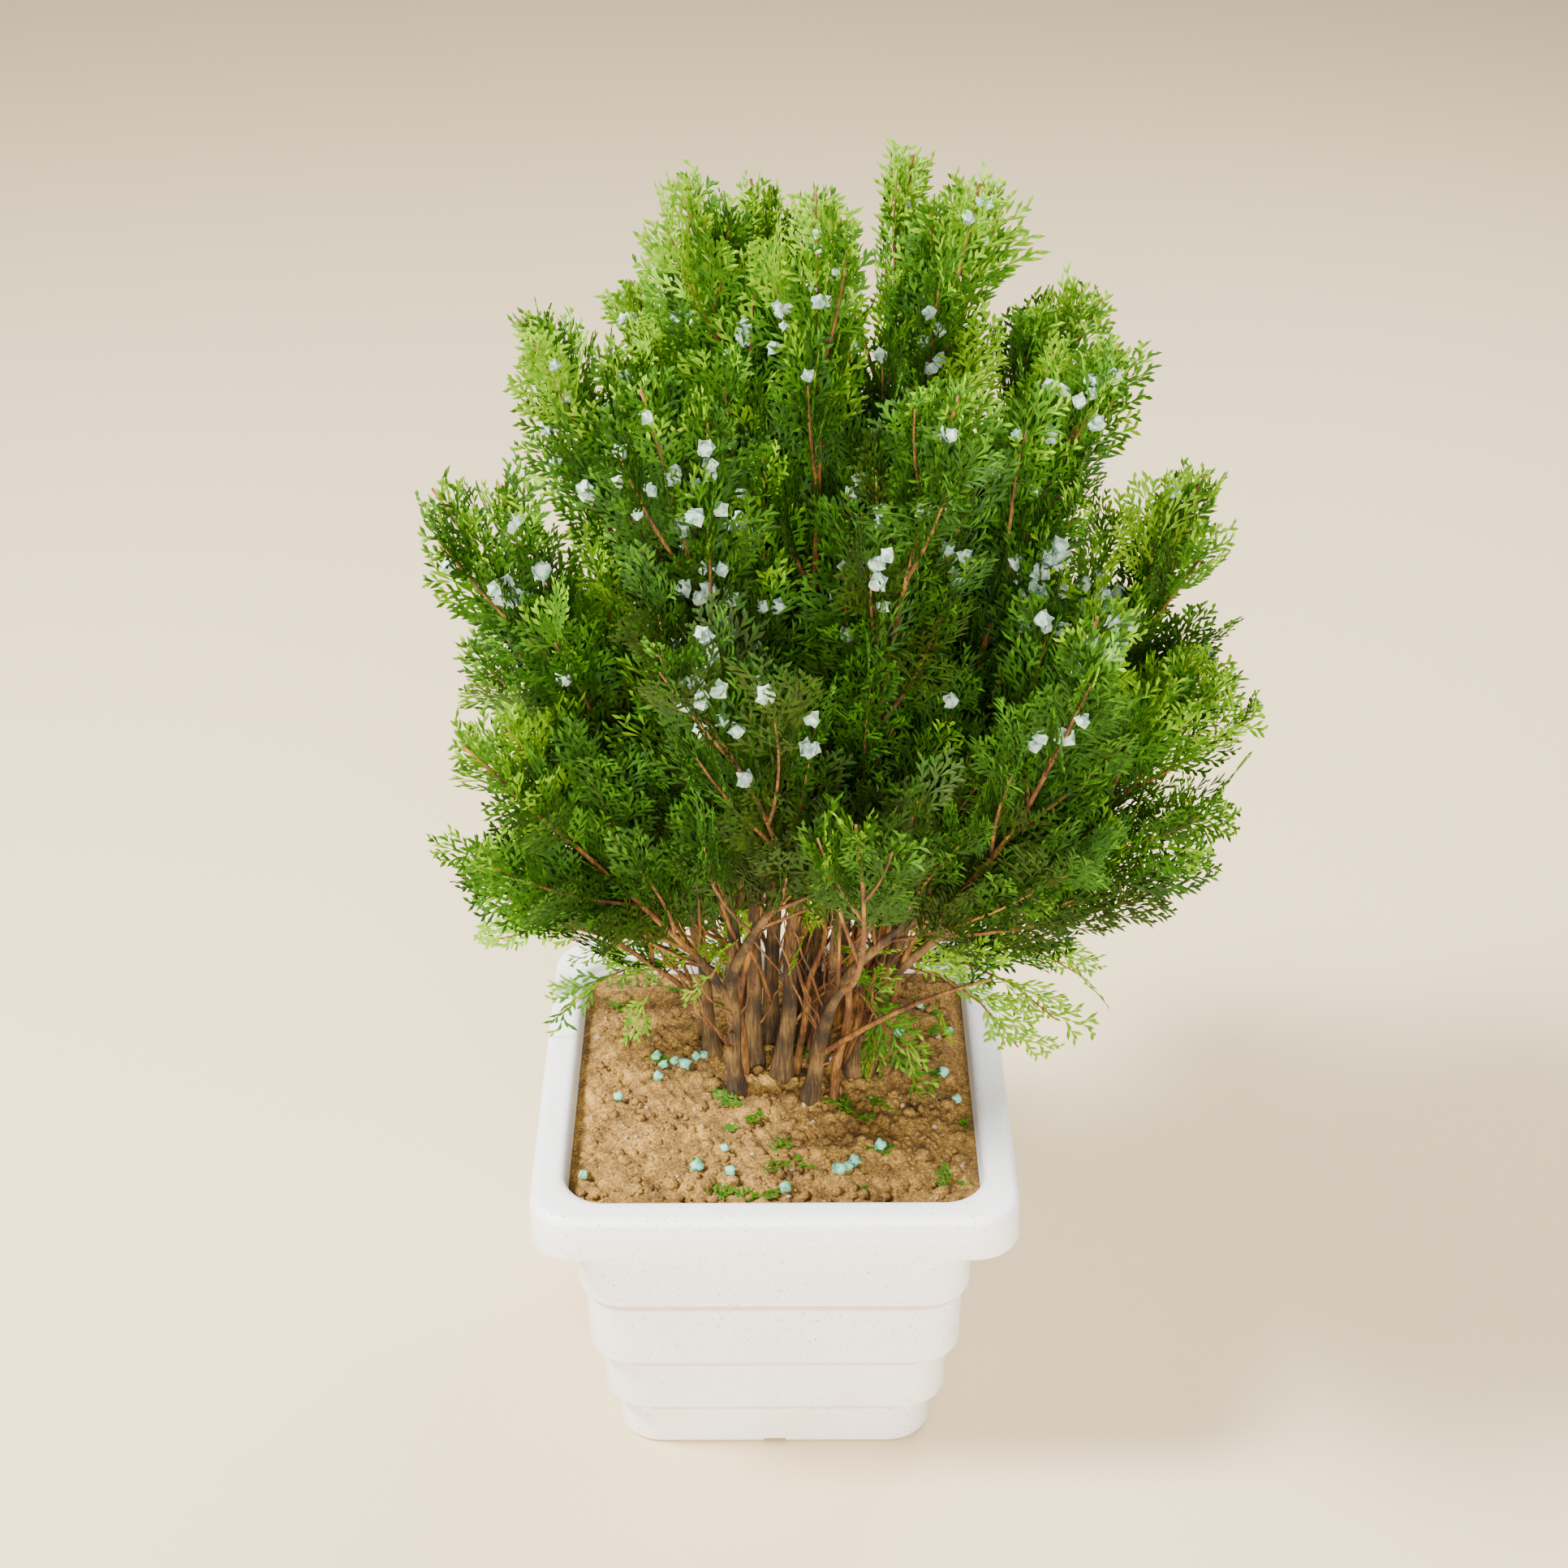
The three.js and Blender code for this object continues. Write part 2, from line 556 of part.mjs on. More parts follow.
// One mass: a plume, and the sprays that stand out of it, fused together and cut clear of their stem.
function growMass(mass, masses, limbs) {
  const others = limbs.filter((item) => item !== mass.limb && item !== mass.carrier);
  const leader = leaderOf(mass);
  const inSpace = (points) => inOwnSpace(points, mass, masses);
  const plumeFits = (points) => inSpace(points) && clearOfLimbs(points, others);
  const sprayFits = (points) => inSpace(points) && clearOfLimbs(points, limbs);
  const parts = [toSolid(plumeGeometry(leader, STOREYS[mass.storey].plume, mass.draw, plumeFits))];
  const firstTurn = mass.draw(0, 360);
  const [from, to] = SPRAY_SPAN;
  for (const k of count(SPRAYS)) {
    const t = from + ((to - from) * k) / (SPRAYS - 1);
    const spray = findSpray(leader, t, firstTurn + k * GOLDEN_ANGLE, mass, sprayFits);
    if (spray) parts.push(toSolid(sprayGeometry(spray)));
    if (spray && k < CONES[mass.storey]) parts.push(toSolid(coneGeometry(spray)));
  }
  const joined = wasm.Manifold.union(parts);
  const clear = mass.carrier ? joined.subtract(stemSolid(mass.carrier, TOUCH)) : joined;
  return wholePiece(clear).simplify(SLIVER);
}

// ---- The whole plant in its pot ----

const plant = new THREE.Group();

function addNode(name, solid, finish) {
  const mesh = new THREE.Mesh(toGeometry(solid), new THREE.MeshStandardMaterial(finish));
  mesh.name = name;
  plant.add(mesh);
}

const masses = Object.entries(STOREYS).flatMap(([storey, { size }], level) =>
  count(size).map((number) => layOutMass(storey, number, 1000 * (level + 1) + number)),
);
const limbs = layOutLimbs(masses);
masses.forEach((mass) => (mass.line = new THREE.Line3(mass.base, mass.tip)));

addNode("pot", potSolid(), FINISHES.pot);
addNode("soil", soilSolid(), FINISHES.soil);
for (const item of limbs) {
  addNode(item.name, item.carrier ? boughSolid(item) : stemSolid(item, 0), FINISHES.bark);
}
for (const mass of masses) {
  addNode(`foliage_${mass.name}`, growMass(mass, masses, limbs), FINISHES.foliage);
}

export default plant;
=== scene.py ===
from math import atan2, cos, pi, radians, sin

import bpy
import numpy as np
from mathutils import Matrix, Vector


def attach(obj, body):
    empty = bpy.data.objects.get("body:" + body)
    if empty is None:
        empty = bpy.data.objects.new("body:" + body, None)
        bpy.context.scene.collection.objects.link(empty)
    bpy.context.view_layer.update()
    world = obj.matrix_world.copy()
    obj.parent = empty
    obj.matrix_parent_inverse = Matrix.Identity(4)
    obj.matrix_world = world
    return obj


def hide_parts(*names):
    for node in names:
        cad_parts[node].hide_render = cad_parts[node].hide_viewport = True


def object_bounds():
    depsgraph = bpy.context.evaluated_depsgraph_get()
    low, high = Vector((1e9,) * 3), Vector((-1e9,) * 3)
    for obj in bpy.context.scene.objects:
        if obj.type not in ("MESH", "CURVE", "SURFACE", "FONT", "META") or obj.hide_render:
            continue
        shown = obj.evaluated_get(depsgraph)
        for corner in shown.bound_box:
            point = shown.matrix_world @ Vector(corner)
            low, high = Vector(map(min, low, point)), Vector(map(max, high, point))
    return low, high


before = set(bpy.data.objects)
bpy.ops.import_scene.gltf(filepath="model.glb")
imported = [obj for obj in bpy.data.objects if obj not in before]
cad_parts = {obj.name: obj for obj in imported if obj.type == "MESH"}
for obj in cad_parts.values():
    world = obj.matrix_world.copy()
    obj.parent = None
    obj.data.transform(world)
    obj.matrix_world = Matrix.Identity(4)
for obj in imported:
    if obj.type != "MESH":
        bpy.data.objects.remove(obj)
CAD_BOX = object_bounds()

MM = 0.001  # every size below is in millimetres, and every mesh is written in metres

# ---- The camera ----

CAMERA_PLACE = (0.0005, -1.3693, 1.2836)
CAMERA_PITCH = 31.47  # degrees below level
CAMERA_YAW = -0.2455
CAMERA_LENS = 61.04
SENSOR = 36
FRAME_SIZE = 1932
FOCAL = CAMERA_LENS / SENSOR * FRAME_SIZE


def new_object(name, data):
    made = bpy.data.objects.new(name, data)
    bpy.context.scene.collection.objects.link(made)
    return made


def set_camera():
    data = bpy.data.cameras.new("camera")
    data.lens = CAMERA_LENS
    data.sensor_width = SENSOR
    camera = new_object("camera", data)
    camera.location = CAMERA_PLACE
    camera.rotation_euler = (radians(90 - CAMERA_PITCH), 0, radians(CAMERA_YAW))
    bpy.context.scene.camera = camera


def pixels_of(points):
    """Where points in mm fall in the frame, and how deep: turned by yaw and pitch, then divided by depth."""
    x, y, z = (points * MM - np.array(CAMERA_PLACE)).T
    turn, fall = radians(CAMERA_YAW), radians(CAMERA_PITCH)
    across, ahead = x * cos(turn) + y * sin(turn), y * cos(turn) - x * sin(turn)
    depth = ahead * cos(fall) - z * sin(fall)
    up = ahead * sin(fall) + z * cos(fall)
    half = FRAME_SIZE / 2
    return half + FOCAL * across / depth, half - FOCAL * up / depth, depth


set_camera()

# ---- Sizes of the pot ----

POT_WIDTH = 300
POT_HEIGHT = 230
RIM_HEIGHT = 31
RIM_OPENING = 257
RIM_ROUND = 6
RIM_HOLLOW = 8
RIM_DRAFT = 1
WALL = 3.5
STEPS = [(250, 136), (241, 84), (225, 38), (208, 0)]  # width at its top and height of its lower edge
STEP_TUCK = 5
STEP_DRAFT = 1.5
SEAM_DEPTH = 2.4  # depth of the narrow groove under each step
SEAM_FALL = 0.31  # how far the band of dust and painted shade reaches under a seam, as a share of the step's width
# strength of the seam band: none, and a tan that is partly dust and partly painted shade
CLEAN, DUST_AND_SHADE = "#000000", "#C8C8C8"
EDGE_ROLL = 4
OUTSIDE_CORNER = 28
INSIDE_CORNER = 24
UNDER_CORNER = 18
GROOVE_WIDTH = 14
GROOVE_DEPTH = 4
GROOVE_START = 35
FLOOR = GROOVE_DEPTH + WALL
DRAIN_RADIUS = 6
DRAIN_REACH = 45
DRAIN_SIDES = 24

# ---- Sizes of the soil and the plant's limbs ----

SOIL_TOP = 222
SOIL_EDGE = 215
SOIL_LUMPS = ((1.7, 70, 1), (1.8, 24, 2), (1.2, 10, 3), (0.6, 5, 4))  # height, size and seed
TOUCH = 0.3
CLUMP = (8, 26)
CROWN = (28, 12)
STEMS = {"top": (22, 5.2, 2.6), "shoulder": (48, 4.7, 2.4)}  # reach and radius of the foot, radius of the end
STEM_BEND = (0.52, 0.46)
ROOT_FLARE = 0.6
FOOT_DEPTH = 6  # how far a stem goes on into the soil
FLARE_REACH = 0.045
BOUGH_FORK, BOUGH_ROOT, BOUGH_END = 0.54, 3.4, 2.2
BOUGH_BEND = (0.55, 0.12)
TWIG = 2.2
TWIG_END = 0.9
TWIG_ARCH = 14
TWIGS_PER_STEM = 13
YOUNG_STEMS = 12

# ---- Sizes of the foliage: how many masses, first and next direction, base, tip, spray ----

STOREYS = {
    "top": (5, 195, 72, (42, 360), (82, 606), 84),
    "shoulder": (7, 232, 51.4, (88, 282), (166, 530), 88),
    "flank": (12, 247, 30, (98, 180), (226, 424), 90),
    "skirt": (5, 307, 60, (0, 38), (196, 172), 84),
}
FLANK_DROP = 100
LOW_BASE = 0.45
BACK_FALL = 0.3
LEADER_BEND = 0.4
FINS = 5
GOLDEN_ANGLE = 137.5
SPRAY_ANGLES = (38, 54)
SPRAY_CLOSING = 16
SPRAY_LIFT = (0.1, 0.6)  # how much side shoots bend up low down, and high up
LIFT_HEIGHTS = (280, 630)  # the heights those stand for
LIMB_GAP = 2
CROWN_RISE = 600  # from the soil to the top of the crown
UP = np.array([0.0, 0.0, 1.0])


# ---- Small tools ----


def seeded_draw(seed):
    """The source's row of numbers: state = 1664525 * state + 1013904223, kept under 2 to the 32."""
    state = seed

    def draw(low, high):
        nonlocal state
        state = (state * 1664525 + 1013904223) % 2**32
        return low + (high - low) * state / 2**32

    draw(0, 1)
    draw(0, 1)
    return draw


def unit(vectors):
    return vectors / np.linalg.norm(vectors, axis=-1, keepdims=True)


def turned(vectors, axes, angle):
    """Vectors turned about unit axes square to them by degrees: v cos a + (axis x v) sin a."""
    angle = np.radians(angle)[..., None] if np.ndim(angle) else radians(angle)
    return vectors * np.cos(angle) + np.cross(axes, vectors) * np.sin(angle)


def spoke_round(axes, angle):
    """Directions square to unit axes, turned about them from the side nearest to +X."""
    side = np.array([1.0, 0.0, 0.0]) - axes * axes[..., :1]
    return turned(unit(side), axes, angle)


def around(angle, radius=1.0, height=0.0):
    """Points round the upright at angles in radians."""
    return np.stack(np.broadcast_arrays(radius * np.cos(angle), radius * np.sin(angle), height), -1)


def curve_at(curve, t):
    """Points of a quadratic curve, (1-t)^2 start + 2t(1-t) bend + t^2 end, and its directions there."""
    start, bend, end = curve
    t = np.asarray(t, float)[..., None]
    points = (1 - t) ** 2 * start + 2 * t * (1 - t) * bend + t**2 * end
    return points, unit((1 - t) * (bend - start) + t * (end - bend))


# ---- The plant's limbs, laid out by the source's rule ----


def place_at(middle, angle, reach, height):
    x, y = middle
    turn = radians(angle)
    return np.array([x + reach * cos(turn), y + reach * sin(turn), SOIL_TOP + TOUCH + height])


def lay_out_mass(storey, level, number):
    """A mass with its direction, the end of its limb and its furthest tip."""
    _, first, step, base, tip, spray = STOREYS[storey]
    draw = seeded_draw(1000 * (level + 1) + number)
    turn = first + step * number + draw(-6, 6)
    middle = CLUMP if storey == "skirt" else CROWN
    drop = FLANK_DROP if storey == "flank" and number % 2 == 1 else 0
    base_reach = base[0] * draw(0.95, 1.05)
    base_height = base[1] * draw(0.95, 1.05) - drop * LOW_BASE
    tip_reach = tip[0] * draw(0.95, 1.05)
    tip_height = (tip[1] - drop) * draw(0.98, 1.02)
    end = place_at(middle, turn + draw(-5, 5), tip_reach, tip_height)
    end[2] -= BACK_FALL * max(0, end[1])
    start = place_at(middle, turn, base_reach, base_height)
    for _ in range(FINS + 1):
        draw(0, 1)
    return dict(
        name=f"{storey}_{number + 1}", storey=storey, turn=turn, base=start, tip=end, spray=spray,
        first_turn=draw(0, 360),
    )


def stem_of(mass):
    foot_reach, foot_radius, end_radius = STEMS[mass["storey"]]
    end, foot = mass["base"], place_at(CLUMP, mass["turn"], foot_reach, 0)
    bend = foot + (end - foot) * STEM_BEND[0]
    bend[2] = foot[2] + (end[2] - foot[2]) * STEM_BEND[1]
    return dict(curve=(foot, bend, end), radii=(foot_radius, end_radius), turn=mass["turn"])


def nearest_stem(mass, stems):
    return min(stems, key=lambda stem: abs((mass["turn"] - stem["turn"] + 540) % 360 - 180))


def point_at_height(limb, z):
    points, _ = curve_at(limb["curve"], np.arange(0, 1.005, 0.01))
    return points[np.argmax(points[:, 2] >= z)]


def bough_of(mass, stems):
    end = mass["base"]
    root = point_at_height(nearest_stem(mass, stems), SOIL_TOP + BOUGH_FORK * (end[2] - SOIL_TOP))
    bend = root + (end - root) * BOUGH_BEND[0]
    bend[2] += (end[2] - root[2]) * BOUGH_BEND[1]
    return dict(curve=(root, bend, end), radii=(BOUGH_ROOT, BOUGH_END))


def leader_of(mass):
    """A mass's leader grows on from its limb's end, or in an arch out of the stem that carries it."""
    base, tip = mass["base"], mass["tip"]
    if "limb" not in mass:
        return dict(curve=(base, (base + tip) / 2 + UP * TWIG_ARCH, tip), radii=(TWIG, TWIG_END))
    _, onward = curve_at(mass["limb"]["curve"], 1.0)
    start = base + onward * TOUCH
    bend = start + onward * np.linalg.norm(tip - start) * LEADER_BEND
    return dict(curve=(start, bend, tip), radii=(mass["limb"]["radii"][1], TWIG_END))


def lay_out_plant():
    """The masses, the stems that carry the upper ones, and the boughs that fork from the outer stems."""
    masses, limbs = [], {storey: [] for storey in STOREYS}
    for level, (storey, (size, *_)) in enumerate(STOREYS.items()):
        for number in range(size):
            mass = lay_out_mass(storey, level, number)
            if storey == "skirt":
                mass["base"] = point_at_height(nearest_stem(mass, limbs["shoulder"]), mass["base"][2])
            else:
                mass["limb"] = stem_of(mass) if storey in STEMS else bough_of(mass, limbs["shoulder"])
                limbs[storey].append(mass["limb"])
            mass["leader"] = leader_of(mass)
            masses.append(mass)
    return masses, limbs["top"] + limbs["shoulder"], limbs["flank"]


# ---- Meshes ----


def add_piece(name, shape, material, replaced=(), smooth=True):
    """A piece from its points in millimetres and its triangles, in place of the nodes that it replaces."""
    points, faces = shape
    mesh = bpy.data.meshes.new(name)
    mesh.vertices.add(len(points))
    mesh.vertices.foreach_set("co", (points * MM).astype(np.float32).ravel())
    mesh.loops.add(faces.size)
    mesh.loops.foreach_set("vertex_index", faces.astype(np.int32).ravel())
    mesh.polygons.add(len(faces))
    mesh.polygons.foreach_set("loop_start", np.arange(0, faces.size, 3, dtype=np.int32))
    mesh.polygons.foreach_set("loop_total", np.full(len(faces), 3, np.int32))
    mesh.polygons.foreach_set("use_smooth", np.full(len(faces), smooth))
    mesh.update(calc_edges=True)
    mesh.validate()
    mesh.materials.append(material)
    piece = new_object(name, mesh)
    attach(piece, "root")
    if replaced:
        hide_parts(*replaced)
    return piece


def nodes_of(kind):
    return [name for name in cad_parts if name.startswith(kind)]


def loft(rings):
    """A closed mesh through rings of points, with the middles of the first and the last to close its ends."""
    count, size = rings.shape[:2]
    k, after = np.arange(size), (np.arange(size) + 1) % size
    a, b = (1 + np.arange(count - 1)[:, None] * size + step for step in (k, after))
    walls = np.stack([a, b, b + size, a, b + size, a + size], -1).reshape(-1, 3)
    last = 1 + (count - 1) * size
    start = np.stack([0 * k, 1 + after, 1 + k], -1)
    end = np.stack([0 * k + last + size, last + k, last + after], -1)
    points = np.concatenate([rings[0].mean(0)[None], rings.reshape(-1, 3), rings[-1].mean(0)[None]])
    return points, np.concatenate([walls, start, end])


def joined(parts):
    """Meshes as one, each with its own points' numbers moved up."""
    starts = np.cumsum([0] + [len(points) for points, _ in parts[:-1]])
    return (
        np.concatenate([points for points, _ in parts]),
        np.concatenate([faces + start for (_, faces), start in zip(parts, starts)]),
    )


def copies(faces, placed):
    """One small mesh at many places, given its points at each of them."""
    offsets = np.arange(len(placed))[:, None, None] * placed.shape[1]
    return placed.reshape(-1, 3), (faces + offsets).reshape(-1, 3)


# ---- Materials ----


def linear(hex_colour):
    """An sRGB hex colour as linear red, green, blue and 1."""
    parts = np.array([int(hex_colour[k : k + 2], 16) for k in (1, 3, 5)]) / 255
    value = np.where(parts <= 0.04045, parts / 12.92, ((parts + 0.055) / 1.055) ** 2.4)
    return (*value.tolist(), 1.0)


def output_of(source):
    """An output itself, or a node's first one."""
    return source.outputs[0] if hasattr(source, "outputs") else source


def add_node(tree, kind, inputs=(), ramp=(), **values):
    """A node with its inputs, its ramp's colours and its values. An input gets a number, a colour, an output
    or a node's first one. A value goes to the property of its name, or else to the input."""
    made = tree.nodes.new("ShaderNode" + kind)
    for name, value in values.items():
        if hasattr(made, name):
            setattr(made, name, value)
        else:
            made.inputs[name.replace("_", " ")].default_value = value
    for socket, source in inputs:
        if isinstance(source, (float, tuple)):
            made.inputs[socket].default_value = source
        else:
            tree.links.new(output_of(source), made.inputs[socket])
    for k, (place, colour) in enumerate(ramp):
        elements = made.color_ramp.elements
        element = elements[k] if k < 2 else elements.new(place)
        element.position, element.color = place, linear(colour)
    return made


def new_material(name):
    """An empty material, its tree and the Object coordinates that its patterns read."""
    material = bpy.data.materials.new(name)
    material.use_nodes = True
    tree = material.node_tree
    return material, tree, add_node(tree, "TexCoord").outputs["Object"]


def set_shader(tree, colour=None, relief=None, **values):
    """The shader's values, its colour and its relief: a pattern with its strength and height in mm."""
    shader = tree.nodes["Principled BSDF"]
    for name, value in values.items():
        shader.inputs[name.replace("_", " ")].default_value = value
    if colour is not None:
        tree.links.new(output_of(colour), shader.inputs["Base Color"])
    if relief is not None:
        pattern, strength, height = relief
        bump = add_node(tree, "Bump", [("Height", pattern)], Strength=strength, Distance=height * MM)
        tree.links.new(bump.outputs["Normal"], shader.inputs["Normal"])


def mixed_patterns(tree, one, other, ramp):
    """Two patterns added, and the colours of their mean."""
    both = add_node(tree, "Math", [(0, one), (1, other)], operation="ADD")
    mean = add_node(tree, "Math", [(0, both), (1, 0.5)], operation="MULTIPLY")
    return both, add_node(tree, "ValToRGB", [("Fac", mean)], ramp=ramp)


def moulded_polypropylene():
    """Injection-moulded plastic: satin white with fine grey specks and tan dust on its lower steps. Under
    each step's overhanging roll runs a tan band along the seam, partly dust and partly painted shade."""
    material, tree, place = new_material("moulded_polypropylene")
    specks = add_node(tree, "TexNoise", [("Vector", place)], Scale=1 / (1.8 * MM), Detail=2.0)
    speckled = add_node(tree, "ValToRGB", [("Fac", specks)], ramp=[(0.28, "#A8AEB6"), (0.36, "#F8F6F3")])
    clouds = add_node(tree, "TexNoise", [("Vector", place)], Scale=1 / (60 * MM), Detail=5.0)
    height = add_node(tree, "SeparateXYZ", [("Vector", place)]).outputs["Z"]
    low = add_node(tree, "MapRange", [("Value", height)], From_Min=0.0, From_Max=0.2, To_Min=0.5, To_Max=0.02)
    dust = add_node(tree, "Math", [(0, low), (1, clouds)], operation="MULTIPLY")
    share = add_node(tree, "Math", [(0, height), (1, POT_HEIGHT * MM)], operation="DIVIDE")
    lines = []
    for (upper, bottom), (lower, _) in reversed(list(zip(STEPS, STEPS[1:]))):
        foot = bottom - SEAM_FALL * (upper - lower)
        edges = foot - 3.2, foot - 1.4, bottom - 1.0, bottom + 1.5
        lines += [(z / POT_HEIGHT, shade) for z, shade in zip(edges, (CLEAN, DUST_AND_SHADE, DUST_AND_SHADE, CLEAN))]
    # a band under each overhanging roll: the painted shade that the roll casts, with dust in it
    seam_dust_and_shade = add_node(tree, "ValToRGB", [("Fac", share)], ramp=lines)
    dust_and_seam_shade = add_node(tree, "Math", [(0, dust), (1, seam_dust_and_shade)], operation="MAXIMUM")
    mix = add_node(tree, "Mix", [("Factor", dust_and_seam_shade), (6, speckled), (7, linear("#C09C6C"))], data_type="RGBA")
    set_shader(tree, mix.outputs[2], (clouds, 0.12, 0.6), Roughness=0.42, IOR=1.49)
    return material


def dry_loam(name, dark, middle, light):
    """Garden loam dried in the sun: loose, lumpy and dull, its colour following its relief: paler on its
    crests as painted light, darker in its hollows as painted shade.
    """
    material, tree, place = new_material(name)
    clods = add_node(tree, "TexNoise", [("Vector", place)], Scale=1 / (14 * MM), Detail=8.0, Roughness=0.62)
    grains = add_node(tree, "TexNoise", [("Vector", place)], Scale=1 / (1.6 * MM), Detail=3.0)
    # the relief's pattern also picks the colour: painted shade in the hollows, painted light on the crests
    both, colour = mixed_patterns(tree, clods, grains, [(0.36, dark), (0.64, light), (0.5, middle)])
    set_shader(tree, colour, (both, 0.9, 1.2), Roughness=0.95)
    return material


def stringy_bark(name, dark, middle, light):
    """Thin bark that peels in long strips: its pattern runs in narrow streaks up the stem."""
    material, tree, place = new_material(name)
    along = add_node(tree, "Mapping", [("Vector", place)], Scale=(1.0, 1.0, 0.07))
    strips = add_node(tree, "TexNoise", [("Vector", along)], Scale=1 / (1.5 * MM), Detail=5.0, Roughness=0.6)
    patches = add_node(tree, "TexNoise", [("Vector", place)], Scale=1 / (22 * MM), Detail=3.0)
    _, colour = mixed_patterns(tree, strips, patches, [(0.38, dark), (0.62, light), (0.5, middle)])
    set_shader(tree, colour, (strips, 0.8, 0.8), Roughness=0.85)
    return material


def scale_leaf(name, shade, light):
    """Scale leaves pressed to their twig: a slightly waxy green, in small paler and darker flecks."""
    material, tree, place = new_material(name)
    flecks = add_node(tree, "TexNoise", [("Vector", place)], Scale=1 / (5 * MM), Detail=2.0)
    colour = add_node(tree, "ValToRGB", [("Fac", flecks)], ramp=[(0.35, shade), (0.65, light)])
    set_shader(tree, colour, Roughness=0.65, IOR=1.45, Specular_IOR_Level=0.2)
    return material


def waxy_cone(name, hollow, bloom):
    """Unripe seed cones: fleshy scales under a pale blue bloom that is rubbed off in places."""
    material, tree, place = new_material(name)
    rubbed = add_node(tree, "TexNoise", [("Vector", place)], Scale=1 / (4 * MM), Detail=4.0)
    colour = add_node(tree, "ValToRGB", [("Fac", rubbed)], ramp=[(0.36, hollow), (0.56, bloom)])
    set_shader(tree, colour, (rubbed, 0.3, 0.5), Roughness=0.68)
    return material


def matt_paper(name, colour):
    """Seamless studio paper: even, pale and without gloss."""
    material, tree, place = new_material(name)
    fibres = add_node(tree, "TexNoise", [("Vector", place)], Scale=1 / (3 * MM), Detail=2.0)
    set_shader(tree, None, (fibres, 0.05, 0.2), Base_Color=linear(colour), Roughness=0.9)
    return material


# ---- The pot ----

CORNER_STEPS = 12


def square_rings(halves, corners, heights):
    """Level squares with rounded corners, one for each half width, corner radius and height. Each side also
    has a point at both edges of the drain groove."""
    angle = np.linspace(0, pi / 2, CORNER_STEPS)
    notch = GROOVE_WIDTH / 2
    straight = (halves - corners)[:, None]
    arc_x = straight + corners[:, None] * np.cos(angle)
    arc_y = straight + corners[:, None] * np.sin(angle)
    side_x = np.tile(np.array([notch + 0.2, notch, -notch, -notch - 0.2]), (len(halves), 1))
    side_y = np.tile(halves[:, None], (1, 4))
    x, y = np.hstack([arc_x, side_x]), np.hstack([arc_y, side_y])
    quarters = [(x, y), (-y, x), (-x, -y), (y, -x)]
    z = np.broadcast_to(heights[:, None], x.shape)
    return np.concatenate([np.stack([a, b, z], -1) for a, b in quarters], 1)


def rounded(middle, start, end, radius, steps=5):
    """Points of an arc about a middle between two angles in degrees, as half widths and heights."""
    return around(np.radians(np.linspace(start, end, steps)), radius)[:, :2] + middle


def pot_outline():
    """The pot's outside from under its floor up over the rounded lip: each step is a straight wall between
    a rolled edge and a groove."""
    parts = []
    tops = [POT_HEIGHT - RIM_HEIGHT + RIM_HOLLOW] + [bottom for _, bottom in STEPS]
    for (width, bottom), top in reversed(list(zip(STEPS, tops))):
        half = width / 2
        parts.append(rounded((half - STEP_DRAFT - EDGE_ROLL, bottom + EDGE_ROLL), -90, 0, EDGE_ROLL, 7))
        groove = half - SEAM_DEPTH
        parts.append([(half - 0.8, top - 2.4), (groove, top - 1.4), (groove, top - 0.2)])
    outer, inner, under = POT_WIDTH / 2, RIM_OPENING / 2, POT_HEIGHT - RIM_HEIGHT
    parts.append([(outer - WALL, under + RIM_HOLLOW), (outer - WALL, under + 0.6)])
    parts.append(rounded((outer - 1.4, under + 1.4), -100, -5, 1.4))
    parts.append(rounded((outer - RIM_DRAFT - RIM_ROUND, POT_HEIGHT - RIM_ROUND), 0, 90, RIM_ROUND, 8))
    parts.append(rounded((inner + RIM_ROUND, POT_HEIGHT - RIM_ROUND), 90, 180, RIM_ROUND, 8))
    return np.concatenate([np.array(part, float) for part in parts])


def pot_lining():
    """The pot's inside from the rim down to the floor, a wall's thickness inside the steps."""
    low = [(width / 2 - STEP_TUCK - WALL, bottom + STEP_TUCK) for width, bottom in STEPS[:3]]
    return np.array([
        (RIM_OPENING / 2, POT_HEIGHT - 2 * RIM_ROUND),
        (STEPS[0][0] / 2 - WALL, POT_HEIGHT - RIM_HEIGHT),
        *low,
        (STEPS[3][0] / 2 - STEP_TUCK - WALL, FLOOR),
    ])


def make_pot(material):
    outside, lining = pot_outline(), pot_lining()
    under = np.array([(GROOVE_START - 8, 0), (GROOVE_START, 0), (GROOVE_START + 0.3, 0)])
    halves, heights = np.concatenate([under, outside, lining]).T
    inside = np.arange(len(halves)) >= len(under) + len(outside)
    corners = np.where(inside, INSIDE_CORNER, OUTSIDE_CORNER).astype(float)
    corners[: len(under)] = UNDER_CORNER
    rings = square_rings(halves, corners, heights)
    near_side = np.minimum(np.abs(rings[..., 0]), np.abs(rings[..., 1])) <= GROOVE_WIDTH / 2
    reach = np.abs(rings[..., :2]).max(-1)
    cut = near_side & (reach > GROOVE_START + 0.1) & (rings[..., 2] < GROOVE_DEPTH) & ~inside[:, None]
    rings[..., 2][cut] = GROOVE_DEPTH
    drill_drains(add_piece("pot_shell", loft(rings), material, ["pot"]))


